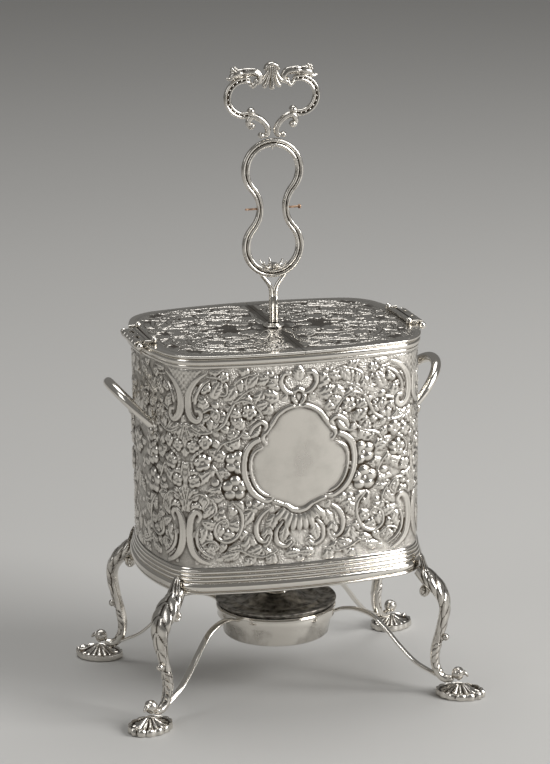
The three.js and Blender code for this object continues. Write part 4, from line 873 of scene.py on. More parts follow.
def knuckle(number):
    """One barrel of the hinge, a ring about the hinge line with eased ends."""
    y0 = -HINGE_HALF + number * KNUCKLE_PITCH
    y1 = y0 + KNUCKLE_PITCH - GAP
    r = HINGE_RADIUS
    profile = [(HINGE_BORE, y0), (r - 0.25, y0), (r, y0 + 0.25), (r, y1 - 0.25), (r - 0.25, y1), (HINGE_BORE, y1)]
    return turned(profile, 32, "y", (HINGE_X, 0, HINGE_Z))


def make_hinges():
    """End hinges: a reeded plate on each lid with three barrels, a strip on the rim with two, and a pin
    whose ball ends show beyond the barrels."""
    z0 = LID_TOP + GAP
    x = np.linspace(LEAF_INNER, LEAF_OUTER, 41)
    reed = lobed((x - LEAF_INNER) / (LEAF_OUTER - LEAF_INNER) * 3, 0.5)
    plate = np.vstack([[[LEAF_OUTER, z0]], [[LEAF_INNER, z0]], np.column_stack([x, z0 + 0.55 + 0.5 * reed])])
    ends = [(-HINGE_HALF, 0.93), (-HINGE_HALF + 0.3, 1), (HINGE_HALF - 0.3, 1), (HINGE_HALF, 0.93)]
    web = [(LEAF_WEB, z0), (HINGE_X - 0.4, z0), (HINGE_X - 0.4, z0 + 0.58), (LEAF_WEB, z0 + 0.75)]
    back = [(PLATE_X, PLATE_Z), (PLATE_OUT, PLATE_Z), (PLATE_OUT, HINGE_Z - 1.5), (PLATE_X, HINGE_Z - 1.5)]
    leaf, rim = [extruded(plate, ends)], []
    for k in range(5):
        y0 = -HINGE_HALF + k * KNUCKLE_PITCH
        span = [(y0 + 0.02, 1), (y0 + KNUCKLE_PITCH - GAP - 0.02, 1)]
        whole, joint = (rim, back) if k % 2 else (leaf, web)
        whole.extend([extruded(joint, span), knuckle(k)])
    at = (LEAF_INNER + 0.5, 0, z0 + 1.0)
    leaf.append(rod(0.9, -HINGE_BALL_Y, HINGE_BALL_Y, 20, "y", at))
    pin = [rod(HINGE_PIN, -HINGE_BALL_Y, HINGE_BALL_Y, 20, "y", (HINGE_X, 0, HINGE_Z))]
    for y in (-HINGE_BALL_Y, HINGE_BALL_Y):
        leaf.append(ball(1.75, (at[0], y, at[2] + 0.5), (1, 0.85, 1)))
        leaf.append(rod(0.75, LEAF_INNER + 1, HINGE_X - 2.7, 16, "x", (0, y, z0 + 0.9)))
        pin.append(ball(HINGE_BALL, (HINGE_X, y, HINGE_Z), (1, 0.85, 1)))
    s = QUARTER + np.linspace(-HINGE_HALF, HINGE_HALF, 30)
    strip = np.vstack([[[RIM_TORUS + GAP, STRIP_BOTTOM]],
                       half_round(RIM_TORUS + 0.6, STRIP_BOTTOM, STRIP_TOP, 1.0, 12),
                       [[RIM_TORUS + GAP, STRIP_TOP]]])
    grid = np.dstack([outline(s[:, None], strip[None, :, 0]), np.tile(strip[:, 1], (len(s), 1))])
    rim.append(skin(grid))
    for side, end in ENDS:
        for name, parts, body, node, slot in (
            ("leaf", leaf, f"lid_{end}", "lid_hinge_leaf", "cast_silver"),
            ("plate", rim, "boiler", "rim_hinge_plate", "cast_silver"),
            ("rod", pin, "boiler", "hinge_pin", "polished_silver"),
        ):
            make(f"hinge_{name}_{end}", [mirrored(p, side) for p in parts], body, f"{node}_{end}", slot)


# ---------------------------------------------------------------- legs and burner support

def upright(sx, sy, turn, origin=(0, 0), reach=1.0):
    """Where (out, height, across) in an upright plane lies for the corner of signs sx, sy. The plane goes
    through origin and is turned from X, and the distance out is scaled by reach."""
    def place(out, z, across):
        x = origin[0] + reach * out * math.cos(turn) - across * math.sin(turn)
        y = origin[1] + reach * out * math.sin(turn) + across * math.cos(turn)
        return xyz(sx * x, sy * y, z)
    return place


def leg_swell(t, angle):
    """Carving on a leg: an acanthus leaf lies over the outer face from the knee down, with a raised
    midrib, lobed edges and slanting veins, and a smaller one climbs from the heel; reeds fill the rest."""
    around_face = np.abs(np.mod(angle + math.pi, TAU) - math.pi)
    size = 0 * t + 0 * angle + 1.0
    for start, stop, lobes, rise in ((0.02, 0.56, 6, 0.3), (0.56, 0.86, 5, 0.24)):
        u = unit((t - start) / (stop - start))
        lobe = lobed(lobes * (u - 0.12 * around_face))
        half = 2.1 * hump(np.clip(u, 0.001, 0.999) ** 0.6) ** 0.6 * (0.75 + 0.25 * lobe)
        q = unit(around_face / half)
        body = np.sqrt(1 - q**2) * (0.4 + 0.6 * lobe) * (1 - 0.55 * np.exp(-(around_face / 0.16) ** 2))
        size = size + rise * body * (u > 0) * (u < 1)
    return size + 0.03 * np.cos(6 * angle)


def head_ribs(t, angle):
    """Ribs that fan out down a leaf head, deepest in its middle."""
    return 1 + 0.13 * np.cos(9 * angle) * hump(t) - 0.1 * lobed(2.5 * t, 1)


def foot_part(place):
    """A shell foot: an oval whose edge is scalloped, with ribs along its radii, a raised lip, a shallow
    dish and a crown under the leg; its underside is flat."""
    r = np.concatenate([np.linspace(0.06, 1, 40), [1.0, 0.99, 0.96]])
    a = angles(120)
    rib = np.abs(np.cos(7 * a)) ** 0.7 * np.maximum(0.4, np.cos(a / 2))
    inner = unit(r[:40])
    z = np.interp(inner, [0, 0.22, 0.45, 0.65, 0.82, 0.93, 0.98, 1], [6.6, 6.3, 4.6, 3.0, 2.6, 3.7, 3.5, 1.9])
    z = np.concatenate([z, [0.8, 0.2, 0.0]])[:, None] + np.concatenate(
        [1.9 * hump(unit(inner * 0.9)) ** 0.7, [0, 0, 0]])[:, None] * (rib[None, :] - 0.5)
    size = r[:, None] * (0.9 + 0.1 * rib * r[:, None] ** 2)
    centre = FOOT_CENTRE / LEG_REACH
    grid = place(centre + FOOT_ALONG * size * np.cos(a) / LEG_REACH, z, FOOT_ACROSS * size * np.sin(a))
    return skin(grid, tips=np.vstack([place(centre, z, 0.0) for z in (6.6, 0.0)]))


def make_legs():
    """Four cast legs with a scroll under the knee, a knob on the outer side and a volute over the foot,
    the four shell feet, and the flat straps from the burner ring to the heels."""
    toe = upright(1, 1, LEG_ANGLE, LEG_ORIGIN, LEG_REACH)(12.0, 0.0, 0.0)
    strap = [(out, z, 0.85, 2.0) for out, z in STRAP_PATH]
    for sx, sy, corner in CORNERS:
        place = upright(sx, sy, LEG_ANGLE, LEG_ORIGIN, LEG_REACH)
        parts = [bar(LEG_PATH, place, 190, 48, swell=leg_swell, rounded=(False, True))]
        parts += curl(place, 3.0, 58.6, 4.9, 3.9, 1.15, math.radians(60), -1, 0.36)
        parts += curl(place, 27.2, 12.6, 4.3, 3.2, 1.25, math.radians(-110), 1, 0.34)
        parts.append(ball(3.5, place(26.8, 12.4, 0.0), (1, 1, 1), 24, 16))
        parts.append(bar([(29.4, 13.2, 1.5, 1.6), (32, 12.6, 1.1, 1.1), (34, 10.8, 0.5, 0.5)], place, 20, 14))
        head = [(-0.6, 79.0, 0.5, 1.2), (0.7, 77.6, 1.0, 2.3), (1.8, 74.4, 1.5, 3.3), (3.0, 70.6, 1.9, 4.3),
                (5.2, 66.0, 2.2, 4.8)]
        parts.append(bar(head, place, 50, 40, swell=head_ribs))
        parts.append(ball(2.0, place(17.9, 32.4, 0.0), (1, 1, 1), 18, 12))
        parts.append(bar([(13.5, 30.2, 1.9, 1.6), (15.4, 31.4, 1.6, 1.4), (17.6, 32.2, 1.1, 1.1)], place, 14, 12))
        make(f"cabriole_{corner}", parts, "boiler", f"leg_{corner}", "cast_silver", 60)
        make(f"foot_shell_{corner}", [foot_part(place)], "boiler", f"shell_foot_{corner}", "cast_silver", 60)
        along = upright(sx, sy, math.atan2(toe[1], toe[0]))
        make(f"lamp_strap_{corner}", [bar(strap, along, 90, 20, 0.7, rounded=(False, False))], "boiler",
             f"strap_{corner}", "polished_silver", 50)


def make_lamp():
    """Burner ring, lamp font, its dished and stepped top, the wick's tube and the wick."""
    ring = np.vstack([[[31.2, 37], [32.2, 37], [32.4, 37.3], [32.4, 41.2]], half_round(32.4, 41.2, 42.9, 0.7, 9),
                      [[32.6, 43.4], [31.2, 43.4]]])
    make("lamp_ring", [turned(ring, 160)], "boiler", "burner_ring", "polished_silver")
    font = [(0, 26.5), (27.0, 26.5), (28.4, 26.8), (29.2, 27.6), (30.5, 36.8), (30.6, 37.4), (30.6, 43.4),
            (29.5, 43.4), (29.4, 37), (28.1, 28.6), (27, 27.6), (0, 27.6)]
    make("font", [turned(font, 160, closed=False)], "lamp", "lamp_font", "polished_silver", finish="worn_silver")
    top = np.vstack([[(4.4, 43.7), (31.6, 43.7), (32.0, 45.1)], half_round(32.7, 45.0, 46.6, 0.7, 10),
                     [(31.2, 46.3), (30.6, 45.9), (29.8, 45.5), (25.6, 45.3), (24.8, 45.7), (24.0, 46.2),
                      (23.2, 46.1), (22.4, 45.3), (21.6, 45.0), (17.4, 45.0), (16.4, 45.4), (15.4, 46.6),
                      (14.4, 47.2), (12.6, 47.5), (11.8, 48.2), (11.2, 48.9), (10.4, 49.2), (4.4, 49.4)]])
    make("lamp_lid", [turned(top, 160)], "lamp", "lamp_top", "lamp_silver")
    tube = [(4.3, 49.7), (7.2, 49.7), (7.4, 50.1), (7.2, 50.6), (5.9, 50.9), (5.4, 51.6), (5.4, 57.4),
            (5.7, 57.6), (5.7, 58), (4.3, 58)]
    make("wick_holder", [turned(tube, 72)], "lamp", "wick_tube", "polished_silver")
    wick = [(0, 30.5), (3.8, 30.5), (4.0, 31), (4.0, 58.6), (3.7, 59.6), (2.6, 60), (1.2, 59.6), (0, 59.8)]
    make("wick_cotton", [turned(wick, 48, closed=False)], "wick", "wick", "cotton_wick")


# ---------------------------------------------------------------- handles

def end_wall(side, y, z, offset):
    """The point on an end wall at (y, z), moved out by offset."""
    p = outline(QUARTER + END_RADIUS * np.arcsin(y / END_RADIUS), offset)
    return xyz(side * p[..., 0], p[..., 1], z)


def handle_leaf(side, end):
    """A leaf on the end wall below a handle's root: rings across it from its lower point to its round
    head, each a lobed front with sunk midrib and veins over a flat back."""
    t = np.linspace(0.015, 0.985, 44)[:, None]
    q = np.linspace(-1, 1, 21)
    z = 139.0 + 20.6 * t
    half = np.interp(t, [0, 0.1, 0.25, 0.42, 0.62, 0.8, 0.93, 1], [0.1, 1.1, 2.8, 4.1, 3.9, 3.3, 2.0, 0.1])
    lobe = lobed(5 * (t - 0.1 * np.abs(q)))
    half = half * (0.84 + 0.16 * lobed(5 * (t - 0.1)))
    rise = np.sqrt(1 - 0.98 * q**2) * hump(np.clip(t, 0.02, 0.98)) ** 0.4
    front = GAP + 0.1 + 1.5 * rise * (0.6 + 0.4 * lobe) * (1 - 0.35 * np.exp(-(q / 0.14) ** 2))
    across = np.concatenate([half * q, half * q[::-1]], 1)
    offset = np.concatenate([front, np.full_like(front, GAP)], 1)
    grid = end_wall(side, end * HANDLE_Y + across, np.broadcast_to(z, across.shape), offset)
    tips = np.stack([end_wall(side, end * HANDLE_Y, h, GAP + 0.2) for h in (138.8, 159.8)])
    return skin(grid, tips=tips)


def make_handles():
    """Side handles: a round wire, thickest at the top of its loop, whose reach is a power of the cosine
    of the turn, in a plane tilted up from the end wall."""
    angle = np.radians(np.linspace(-86.6, 86.6, 110))
    out = (HANDLE_REACH + 2) * np.cos(angle) ** 0.85
    y = HANDLE_Y * np.sin(angle)
    root_x = HALF_LENGTH - HANDLE_Y**2 / (2 * END_RADIUS) - 2
    radius = 2.0 + 0.85 * np.cos(angle) ** 0.6
    path = np.column_stack([out, y, radius, radius])

    def place(a, b, lift, side):
        x = root_x + a * math.cos(HANDLE_TILT) - lift * math.sin(HANDLE_TILT)
        z = HANDLE_Z - 2 + a * math.sin(HANDLE_TILT) + lift * math.cos(HANDLE_TILT)
        return xyz(side * x, b, z)

    for side, name in ENDS:
        wire = bar(path, lambda a, b, c, side=side: place(a, b, c, side), 150, 32, rounded=(False, False))
        make(f"loop_handle_{name}", [wire], "boiler", f"side_handle_{name}", "polished_silver")
        for end, letter in ((-1, "a"), (1, "b")):
            boss = end_wall(side, end * HANDLE_Y, 153.6, 1.4)
            drop = end_wall(side, end * HANDLE_Y, 140.2, 1.1)
            parts = [handle_leaf(side, end), ball(2.9, boss, (0.6, 1, 1)), ball(1.1, drop, (0.9, 1, 1), 14, 8)]
            make(f"root_leaf_{name}_{letter}", parts, "boiler", f"handle_leaf_{name}_{letter}", "cast_silver", 60)


# ---------------------------------------------------------------- lifting frame

def facing(x, z, across):
    """Where (x, height, across) lies in the upright plane through the lifting frame."""
    return xyz(x, across, z)


def make_stem():
    """The stem's section is two round reeds side by side: in the direction a, the radius is |cos a| plus
    the root of the reed's radius squared less sin squared a. Its fork's arms spread to the timer frame."""
    a = angles(48)
    r = np.abs(np.cos(a)) + np.sqrt(1.15**2 - np.sin(a) ** 2)
    z = np.array([STEM_BOTTOM, STEM_BOTTOM + 0.2, 120, 160, 196, 204, 210, STEM_TOP - 0.2, STEM_TOP])[:, None]
    k = np.array([0.85, 1, 1, 1, 1.14, 1.14, 1.14, 1.1, 1])[:, None]
    parts = [skin(xyz(r * np.cos(a) * k, r * np.sin(a) * k, z))]
    for side in (-1, 1):
        path = [(1.2, 212, 1.25, 1.2), (1.25, 218.6, 1.22, 1.2), (2.1, 222.2, 1.2, 1.15), (4.5, 225.6, 1.15, 1.12),
                (6.9, 228.6, 1.1, 1.12)]
        path = [(side * x, z, t, w) for x, z, t, w in path]
        parts.append(bar(path, facing, 50, 20))
    make("reeded_stem", parts, "egg_frame", "stem", "polished_silver")


def timer_line(steps):
    """The timer frame's middle line and outward direction: two round lobes joined by arcs that draw in to
    the waist and touch both lobes."""
    lobe = (TIMER_OUTER + TIMER_INNER) / 2
    waist = (WAIST_OUTER + WAIST_INNER) / 2
    bend = (waist**2 + TIMER_LOBE**2 - lobe**2) / (2 * (lobe - waist))
    turn = math.atan2(TIMER_LOBE, waist + bend)
    rows = []
    for x, z, r, a0, a1, n, way in (
        (0, TIMER_LOBE, lobe, -turn, math.pi + turn, 3 * steps, 1),
        (-waist - bend, 0, bend, turn, -turn, steps, -1),
        (0, -TIMER_LOBE, lobe, math.pi - turn, TAU + turn, 3 * steps, 1),
        (waist + bend, 0, bend, math.pi + turn, math.pi - turn, steps, -1),
    ):
        a = np.linspace(a0, a1, n, endpoint=False)
        c, s = np.cos(a), np.sin(a)
        rows.append(np.column_stack([x + r * c, TIMER_Z + z + r * s, way * c, way * s]))
    return np.vstack(rows)


def make_timer_frame():
    """A strap of two reeds with a groove between, its section two half ellipses on each face, carried
    round the middle line and narrowed at the waist; a nub under its top once held the glass."""
    line = timer_line(34)
    share = np.minimum(1, np.abs(line[:, 1] - TIMER_Z) / (TIMER_LOBE * 0.8))
    half = 1.8 + 0.5 * share
    n = np.linspace(-1, 1, 25)
    y = 0.22 + 0.78 * np.sqrt(unit(1 - ((np.abs(n) - 0.52) / 0.48) ** 2))
    across = np.concatenate([n, n[::-1][1:-1]])
    depth = TIMER_DEPTH * np.concatenate([y, -y[::-1][1:-1]])
    shift = half[:, None] * across
    grid = facing(line[:, :1] + line[:, 2:3] * shift, line[:, 1:2] + line[:, 3:4] * shift, depth)
    top = TIMER_Z + TIMER_LOBE + TIMER_INNER
    nub = [(0, top - 1.5), (0.4, top - 1.5), (0.55, top - 1.1), (0.5, top + 0.6), (0, top + 0.6)]
    make("reeded_timer_frame", [skin(grid, looped=True), turned(nub, 16, closed=False)], "egg_frame",
         "timer_frame", "polished_silver", 50, "cast_silver")
    z0 = TIMER_Z - TIMER_LOBE - TIMER_INNER + 0.6
    boss = [(0, -0.3), (1.4, -0.2), (2.4, 0.6), (2.9, 1.6), (2.7, 2.4), (1.6, 2.7), (0, 2.6)]
    claw = [(1.4, z0 + 1.4, 0.6, 1.0), (3.8, z0 + 0.7, 0.5, 1.15), (6, z0 + 1.6, 0.42, 0.85),
            (7.3, z0 + 4.2, 0.3, 0.3)]
    parts = [turned([(r, z0 + z) for r, z in boss], 32, closed=False)]
    parts += [bar(claw, upright(1, 1, (k + 0.5) * TAU / 6), 26, 14, 0.8) for k in range(6)]
    make("claw_calyx", parts, "egg_frame", "timer_calyx", "cast_silver")
    x0, x1, r = 5.7, 15.2, 0.55
    right = [(0, x0), (r, x0), (r, x1 - 1.2), (0.95, x1 - 1.1), (1.2, x1 - 0.5), (1.1, x1 + 0.2), (0.6, x1 + 0.4),
             (0, x1 + 0.4)]
    make("pin_right", [turned(right, 24, "x", (0, 0, TIMER_Z), False)], "waist_pin_right", "waist_pin_right",
         "copper_pin")
    tab = bar([(-13.4, TIMER_Z, 0.4, 0.7), (-14.4, TIMER_Z, 0.38, 1.15), (-15.4, TIMER_Z, 0.32, 0.95)],
              facing, 16, 14, 0.7)
    make("pin_left", [rod(r, -x0, -x1, 24, "x", (0, 0, TIMER_Z)), tab], "waist_pin_left", "waist_pin_left",
         "copper_pin")


def grip_half():
    """The left half of the grip: a channelled C scroll set with beads, the leaf-wrapped bar over it, and
    the small scroll that stands on the timer frame."""
    angle = np.radians(68 + np.linspace(0, 1, 13) * 232)
    swell = hump((np.linspace(0, 8, 13) + 1) / 10)
    half = GRIP_HALF * (0.72 + 0.28 * swell)
    line = np.column_stack([-GRIP_X + GRIP_RADIUS * np.cos(angle), GRIP_Z + GRIP_RADIUS * np.sin(angle), half,
                            GRIP_DEPTH * (0.7 + 0.3 * swell)])

    def channel(t, a):
        """Draws the section in towards the front and the back, by a bell on the cosine's fourth power."""
        face = np.abs(np.cos(a))
        return 1 - 0.42 * np.exp(-(face / 0.42) ** 4) + 0 * t

    parts = [bar(line, facing, 90, 40, 0.8, channel)]
    for k in range(13):
        a = math.radians(84 + k * 16.6)
        for y in (-1.05, 1.05):
            at = (-GRIP_X + GRIP_RADIUS * math.cos(a), y, GRIP_Z + GRIP_RADIUS * math.sin(a))
            parts.append(ball(0.52, at, (1, 0.8, 1), 8, 5))

    def wrapped(t, a):
        """Ribs by the cosine of five times angle and place, under a sine hump, and a tie drawn in at 0.3."""
        return 1 + 0.1 * np.cos(5 * a + 5 * t) * hump(t) - 0.16 * np.exp(-((t - 0.3) / 0.04) ** 2)

    wrap = [(-23, 335.2, 1.0, 1.2), (-20.6, 336.8, 2.1, 2.2), (-16.5, 337.8, 2.4, 2.3), (-12, 338.0, 2.1, 2.2),
            (-8.6, 337.6, 2.0, 2.2), (-6.6, 335.4, 1.6, 2.0), (-7.2, 332.6, 1.3, 1.7), (-9.6, 331.6, 1.0, 1.3)]
    parts.append(bar(wrap, facing, 70, 30, swell=wrapped))
    lower = [(-12.8, 308.6, 1.0, 1.3), (-13.1, 311.8, 1.4, 1.6), (-11, 314.3, 1.6, 1.8), (-7, 313, 1.55, 1.8),
             (-3.9, 310.2, 1.5, 1.7), (-2.4, 307.2, 1.5, 1.7), (-2.7, 304.6, 1.4, 1.6), (-4.8, 303.1, 1.1, 1.4)]

    def ridged(t, a):
        """Ridges by the cosines of two and six times the angle."""
        return 1 + 0.08 * np.cos(2 * a) + 0.06 * np.cos(6 * a) + 0 * t

    parts.append(bar(lower, facing, 80, 26, swell=ridged))
    parts += curl(facing, -11.9, 317.2, 2.9, 2.1, 1.2, math.radians(-150), 1, 0.36)
    parts += curl(facing, -11.5, 309.3, 2.4, 1.8, 1.2, math.radians(150), 1, 0.36)
    parts += curl(facing, -6.2, 303.9, 2.0, 1.7, 1.1, math.radians(-40), 1, 0.36)
    for x, z, r in ((-11.6, 317.2, 2.1), (-11.3, 309.3, 1.9), (-6.2, 304, 1.7)):
        parts.append(ball(r, (x, 0, z), (1, 1.45, 1), 16, 10))
    parts += curl(facing, -11.2, 331.6, 2.0, 1.6, 1.1, math.radians(100), 1, 0.36)
    for k in range(6):
        a = math.radians(20 + 60 * k)
        at = (-20.4 + 1.5 * math.cos(a), 0, 338.9 + 1.5 * math.sin(a))
        parts.append(ball(1.05, at, (1, 1.5, 1), 12, 8))
    parts.append(ball(1.1, (-20.4, 0, 338.9), (1, 2.0, 1), 14, 8))
    parts.append(bar([(-20.5, 335.4, 1.2, 1.4), (-23.2, 334.6, 0.9, 1.2), (-25.2, 335.4, 0.4, 0.6)],
                     facing, 24, 14))
    parts.append(bar([(-8.6, 334.6, 1.0, 1.2), (-9.2, 331.4, 1.2, 1.5), (-11.4, 329.6, 0.9, 1.2)], facing, 26, 16))
    return parts


def grip_shell():
    """The shell between the scrolls: five flutes that spread downward, and a rolled lip across their tops."""
    flutes = [[(0, 341.4, 0.8, 1.6), (0, 335.6, 1.0, 1.8), (0, 330.4, 1.45, 2.1), (0, 328.0, 1.7, 1.9)]]
    for side in (-1, 1):
        flutes += [[(side * x, z, t, w) for x, z, t, w in path] for path in (
            [(1.0, 341.2, 0.8, 1.5), (1.5, 336.4, 0.9, 1.6), (3.1, 331.6, 1.25, 1.8), (5.0, 329.4, 1.45, 1.6)],
            [(1.9, 340.8, 0.7, 1.3), (2.5, 337.4, 0.85, 1.4), (4.8, 333.6, 1.05, 1.5), (7.4, 331.9, 1.25, 1.3)])]
    lip = [(-4.0, 338.4, 0.7, 1.6), (-2.7, 340.8, 1.1, 2.2), (0, 342.0, 1.25, 2.5), (2.7, 340.8, 1.1, 2.2),
           (4.0, 338.4, 0.7, 1.6)]
    return [bar(path, facing, 50, 22) for path in [*flutes, lip]]


def make_grip():
    """The grip's two halves and its shell."""
    half = grip_half()
    for side, end in ENDS:
        parts = [mirrored(p, -side) for p in half]
        make(f"grip_{end}", parts, "egg_frame", f"grip_scroll_{end}", "cast_silver", 60)
    make("grip_anthemion", grip_shell(), "egg_frame", "grip_shell", "cast_silver", 60)


def make_rack():
    """Egg rings with rolled edges, their posts, and the bar and tray that keep their CAD shapes."""
    ring = np.vstack([[[RING_INNER, RACK_BOTTOM + 0.4], [RING_INNER + 0.4, RACK_BOTTOM],
                       [RING_OUTER - 0.3, RACK_BOTTOM], [RING_OUTER, RACK_BOTTOM + 0.3]],
                      half_round(RING_OUTER - 0.1, RACK_TOP - 1.0, RACK_TOP, 0.1, 7),
                      [[RING_INNER + 0.3, RACK_TOP], [RING_INNER, RACK_TOP - 0.3]]])
    number = 1
    for y in (-RACK_Y, RACK_Y):
        for x in (-RACK_X, 0, RACK_X):
            make(f"egg_holder_{number}", [turned(ring, 96, centre=(x, y, 0))], "egg_frame", f"egg_ring_{number}",
                 "plain_silver")
            number += 1
    at = (RING_INNER + RING_OUTER) / 2 * math.sqrt(0.5)
    for k, (sx, sy, _) in enumerate(CORNERS):
        post = [(0, 73.5), (1.3, 73.5), (1.4, 73.8), (1.4, 95.4), (1.2, 95.7), (0, 95.7)]
        make(f"rack_foot_{k + 1}",
             [turned(post, 28, centre=(sx * (RACK_X + at), sy * (RACK_Y + at), 0), closed=False)],
             "egg_frame", f"rack_post_{k + 1}", "plain_silver")
    for name in ("rack_bar", "rack_tray", "bottom_plate"):
        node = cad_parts[name]
        node.data.materials.clear()
        node.data.materials.append(material("plain_silver"))


# ---------------------------------------------------------------- finishes

class Term:
    """A socket or a number in a material's maths: an operator on it adds a Math node, from either side."""

    def __init__(self, net, socket):
        self.net, self.socket = net, socket

    def _maths(self, operation, *others):
        return self.net.node("ShaderNodeMath", {"operation": operation}, dict(enumerate((self, *others))))

    def __add__(self, other):
        return self._maths("ADD", other)

    def __mul__(self, other):
        return self._maths("MULTIPLY", other)

    def __sub__(self, other):
        return self._maths("SUBTRACT", other)

    def __rsub__(self, other):
        return self * -1.0 + other

    __radd__, __rmul__ = __add__, __mul__

    def clamped(self):
        return self.net.node("ShaderNodeClamp", {}, {0: self})


class Net:
    """A material's node net: one Principled shader, and nodes added by type, settings and inputs."""

    def __init__(self, name):
        self.material = bpy.data.materials.new(f"finish_{name}")
        self.material.use_nodes = True
        self.tree = self.material.node_tree
        self.shader = next(n for n in self.tree.nodes if n.type == "BSDF_PRINCIPLED")

    def node(self, kind, settings, inputs, output=0):
        made = self.tree.nodes.new(kind)
        for key, value in settings.items():
            setattr(made, key, value)
        for key, value in inputs.items():
            self.feed(made.inputs[key], value)
        return Term(self, made.outputs[output])

    def feed(self, socket, value):
        if isinstance(value, Term):
            self.tree.links.new(value.socket, socket)
        else:
            socket.default_value = value

    def set(self, **inputs):
        for key, value in inputs.items():
            self.feed(self.shader.inputs[key.replace("_", " ")], value)

    def place(self):
        return self.node("ShaderNodeTexCoord", {}, {}, "Object")

    def noise(self, scale, detail=3.0, rough=0.55, stretch=None):
        at = self.place()
        if stretch is not None:
            at = self.node("ShaderNodeMapping", {}, {"Vector": at, "Scale": stretch})
        return self.node("ShaderNodeTexNoise", {},
                         {"Vector": at, "Scale": scale, "Detail": detail, "Roughness": rough})

    def cells(self, scale):
        return self.node("ShaderNodeTexVoronoi", {"feature": "F1"},
                         {"Vector": self.place(), "Scale": scale}, "Distance")

    def attribute(self, name):
        return self.node("ShaderNodeAttribute", {"attribute_name": name}, {}, "Fac")

    def ramp(self, value, low, high):
        """From 0 at low to 1 at high, clamped."""
        return self.node("ShaderNodeMapRange", {"interpolation_type": "SMOOTHSTEP"},
                         {"Value": value, "From Min": low, "From Max": high})

    def blend(self, amount, a, b):
        """Colour a where amount is 0 and b where it is 1, each given without its alpha."""
        made = self.tree.nodes.new("ShaderNodeMix")
        made.data_type = "RGBA"
        self.feed(made.inputs["Factor"], amount)
        for name, value in (("A", a), ("B", b)):
            socket = next(s for s in made.inputs if s.name == name and s.type == "RGBA")
            self.feed(socket, (*value, 1.0))
        return Term(self, next(s for s in made.outputs if s.type == "RGBA"))

    def metal(self, dark, clean, dull, rough, height, distance):
        """A metal that turns from its clean colour to its dull one as dark goes from 0 to 1."""
        self.set(Metallic=1.0, Base_Color=self.blend(dark, clean, dull), Roughness=rough.clamped())
        self.bump(height, distance)
        return self.material

    def bump(self, height, distance):
        self.set(Normal=self.node("ShaderNodeBump", {}, {"Height": height, "Distance": distance}, "Normal"))


def silver(name, colours, rough, dirt, cavity=0.0, matt=0.0, stipple=0.0, grime=60.0, clean="silver"):
    """Silver: painted shade and tarnish darken it by the cavity attribute, tarnish also by a slow noise; fine
    hairlines and a slow cloud vary the gloss, and the matt attribute carries the punched ground's stipple."""
    net = Net(name)
    cloud = net.ramp(net.noise(grime, 5.0), 0.42, 0.72)
    hairline = net.noise(900.0, 2.0, 0.6, (1.0, 1.0, 0.12))
    dark = cloud * dirt
    if cavity:
        # Painted shade and tarnish in the hollows, by the cavity attribute.
        dark = dark + net.attribute("cavity") * cavity
    level = net.noise(35.0, 2.0) * 0.08 + hairline * 0.06 + cloud * 0.06 + (rough - 0.1)
    height = hairline * 0.06
    if matt:
        ground = net.attribute("matt")
        dark = dark + ground * (net.noise(420.0, 3.0) * 0.75) * matt
        level = level + ground * 0.2 * matt
        height = height + ground * net.cells(1500.0) * stipple
    dark = dark.clamped()
    return net.metal(dark, getattr(colours, clean), colours.tarnish_and_shade, level + dark * 0.22, height, 0.00025)


# The cavity weights set how dark the painted shade and tarnish in the hollows are.
SILVERS = {
    "chased_silver": dict(rough=0.22, dirt=0.16, cavity=0.86, matt=0.62, stipple=1.6),
    "lid_silver": dict(rough=0.17, dirt=0.1, cavity=0.95, matt=0.2, stipple=0.6),
    "polished_silver": dict(rough=0.13, dirt=0.08),
    "worn_silver": dict(rough=0.2, dirt=0.35, grime=75.0),
    "plain_silver": dict(rough=0.34, dirt=0.35, grime=90.0, clean="grey_silver"),
}


def cast_silver(colours):
    """Cast silver: painted shade and tarnish keep the hollows in the cavity attribute dark, and a cloud and fine
    pits dull the rest.
    """
    net = Net("cast_silver")
    cloud = net.ramp(net.noise(190.0, 5.0), 0.46, 0.7)
    pits = net.noise(1300.0, 2.0)
    # Painted shade and tarnish in the hollows, a random cloud of tarnish, and an even dulling.
    dark = (cloud * 0.3 + net.attribute("cavity") * 0.95 + 0.14).clamped()
    return net.metal(dark, colours.silver, colours.tarnish_and_shade, cloud * 0.12 + pits * 0.1 + 0.13,
                     pits * 0.2 + cloud * 0.3, 0.0002)


def lamp_silver(colours):
    """Blackened top: soot mixed by a slow noise over grey silver, dull where it lies thick."""
    net = Net("lamp_silver")
    soot = net.ramp(net.noise(220.0, 6.0), 0.2, 0.75)
    grain = net.noise(1600.0, 2.0)
    return net.metal(soot, colours.grey_silver, colours.soot, soot * 0.22 + grain * 0.1 + 0.2, grain * 0.4, 0.0002)


def copper_pin(colours):
    """Copper, browned in patches where it isn't rubbed."""
    net = Net("copper_pin")
    brown = net.ramp(net.noise(500.0, 4.0), 0.4, 0.65)
    return net.metal(brown, colours.copper, colours.copper_dark, brown * 0.25 + 0.25, brown * 0.5, 0.0001)


def cotton_wick(colours):
    """Cotton: crossed waves for the plait, and fine noise for its fibres."""
    net = Net("cotton_wick")
    waves = []
    for turn in (0.7, -0.7):
        at = net.node("ShaderNodeMapping", {}, {"Vector": net.place(), "Rotation": (0.0, turn, 0.4)})
        waves.append(net.node("ShaderNodeTexWave", {}, {"Vector": at, "Scale": 420.0, "Distortion": 1.5}, "Fac"))
    plait = waves[0] * waves[1]
    fibre = net.noise(3000.0, 3.0)
    net.set(Base_Color=net.blend((plait * 0.5 + fibre * 0.4).clamped(), colours.cotton_dark, colours.cotton),
            Roughness=0.95)
    net.bump(plait + fibre * 0.4, 0.0004)
    return net.material


OTHERS = {f.__name__: f for f in (cast_silver, lamp_silver, copper_pin, cotton_wick)}


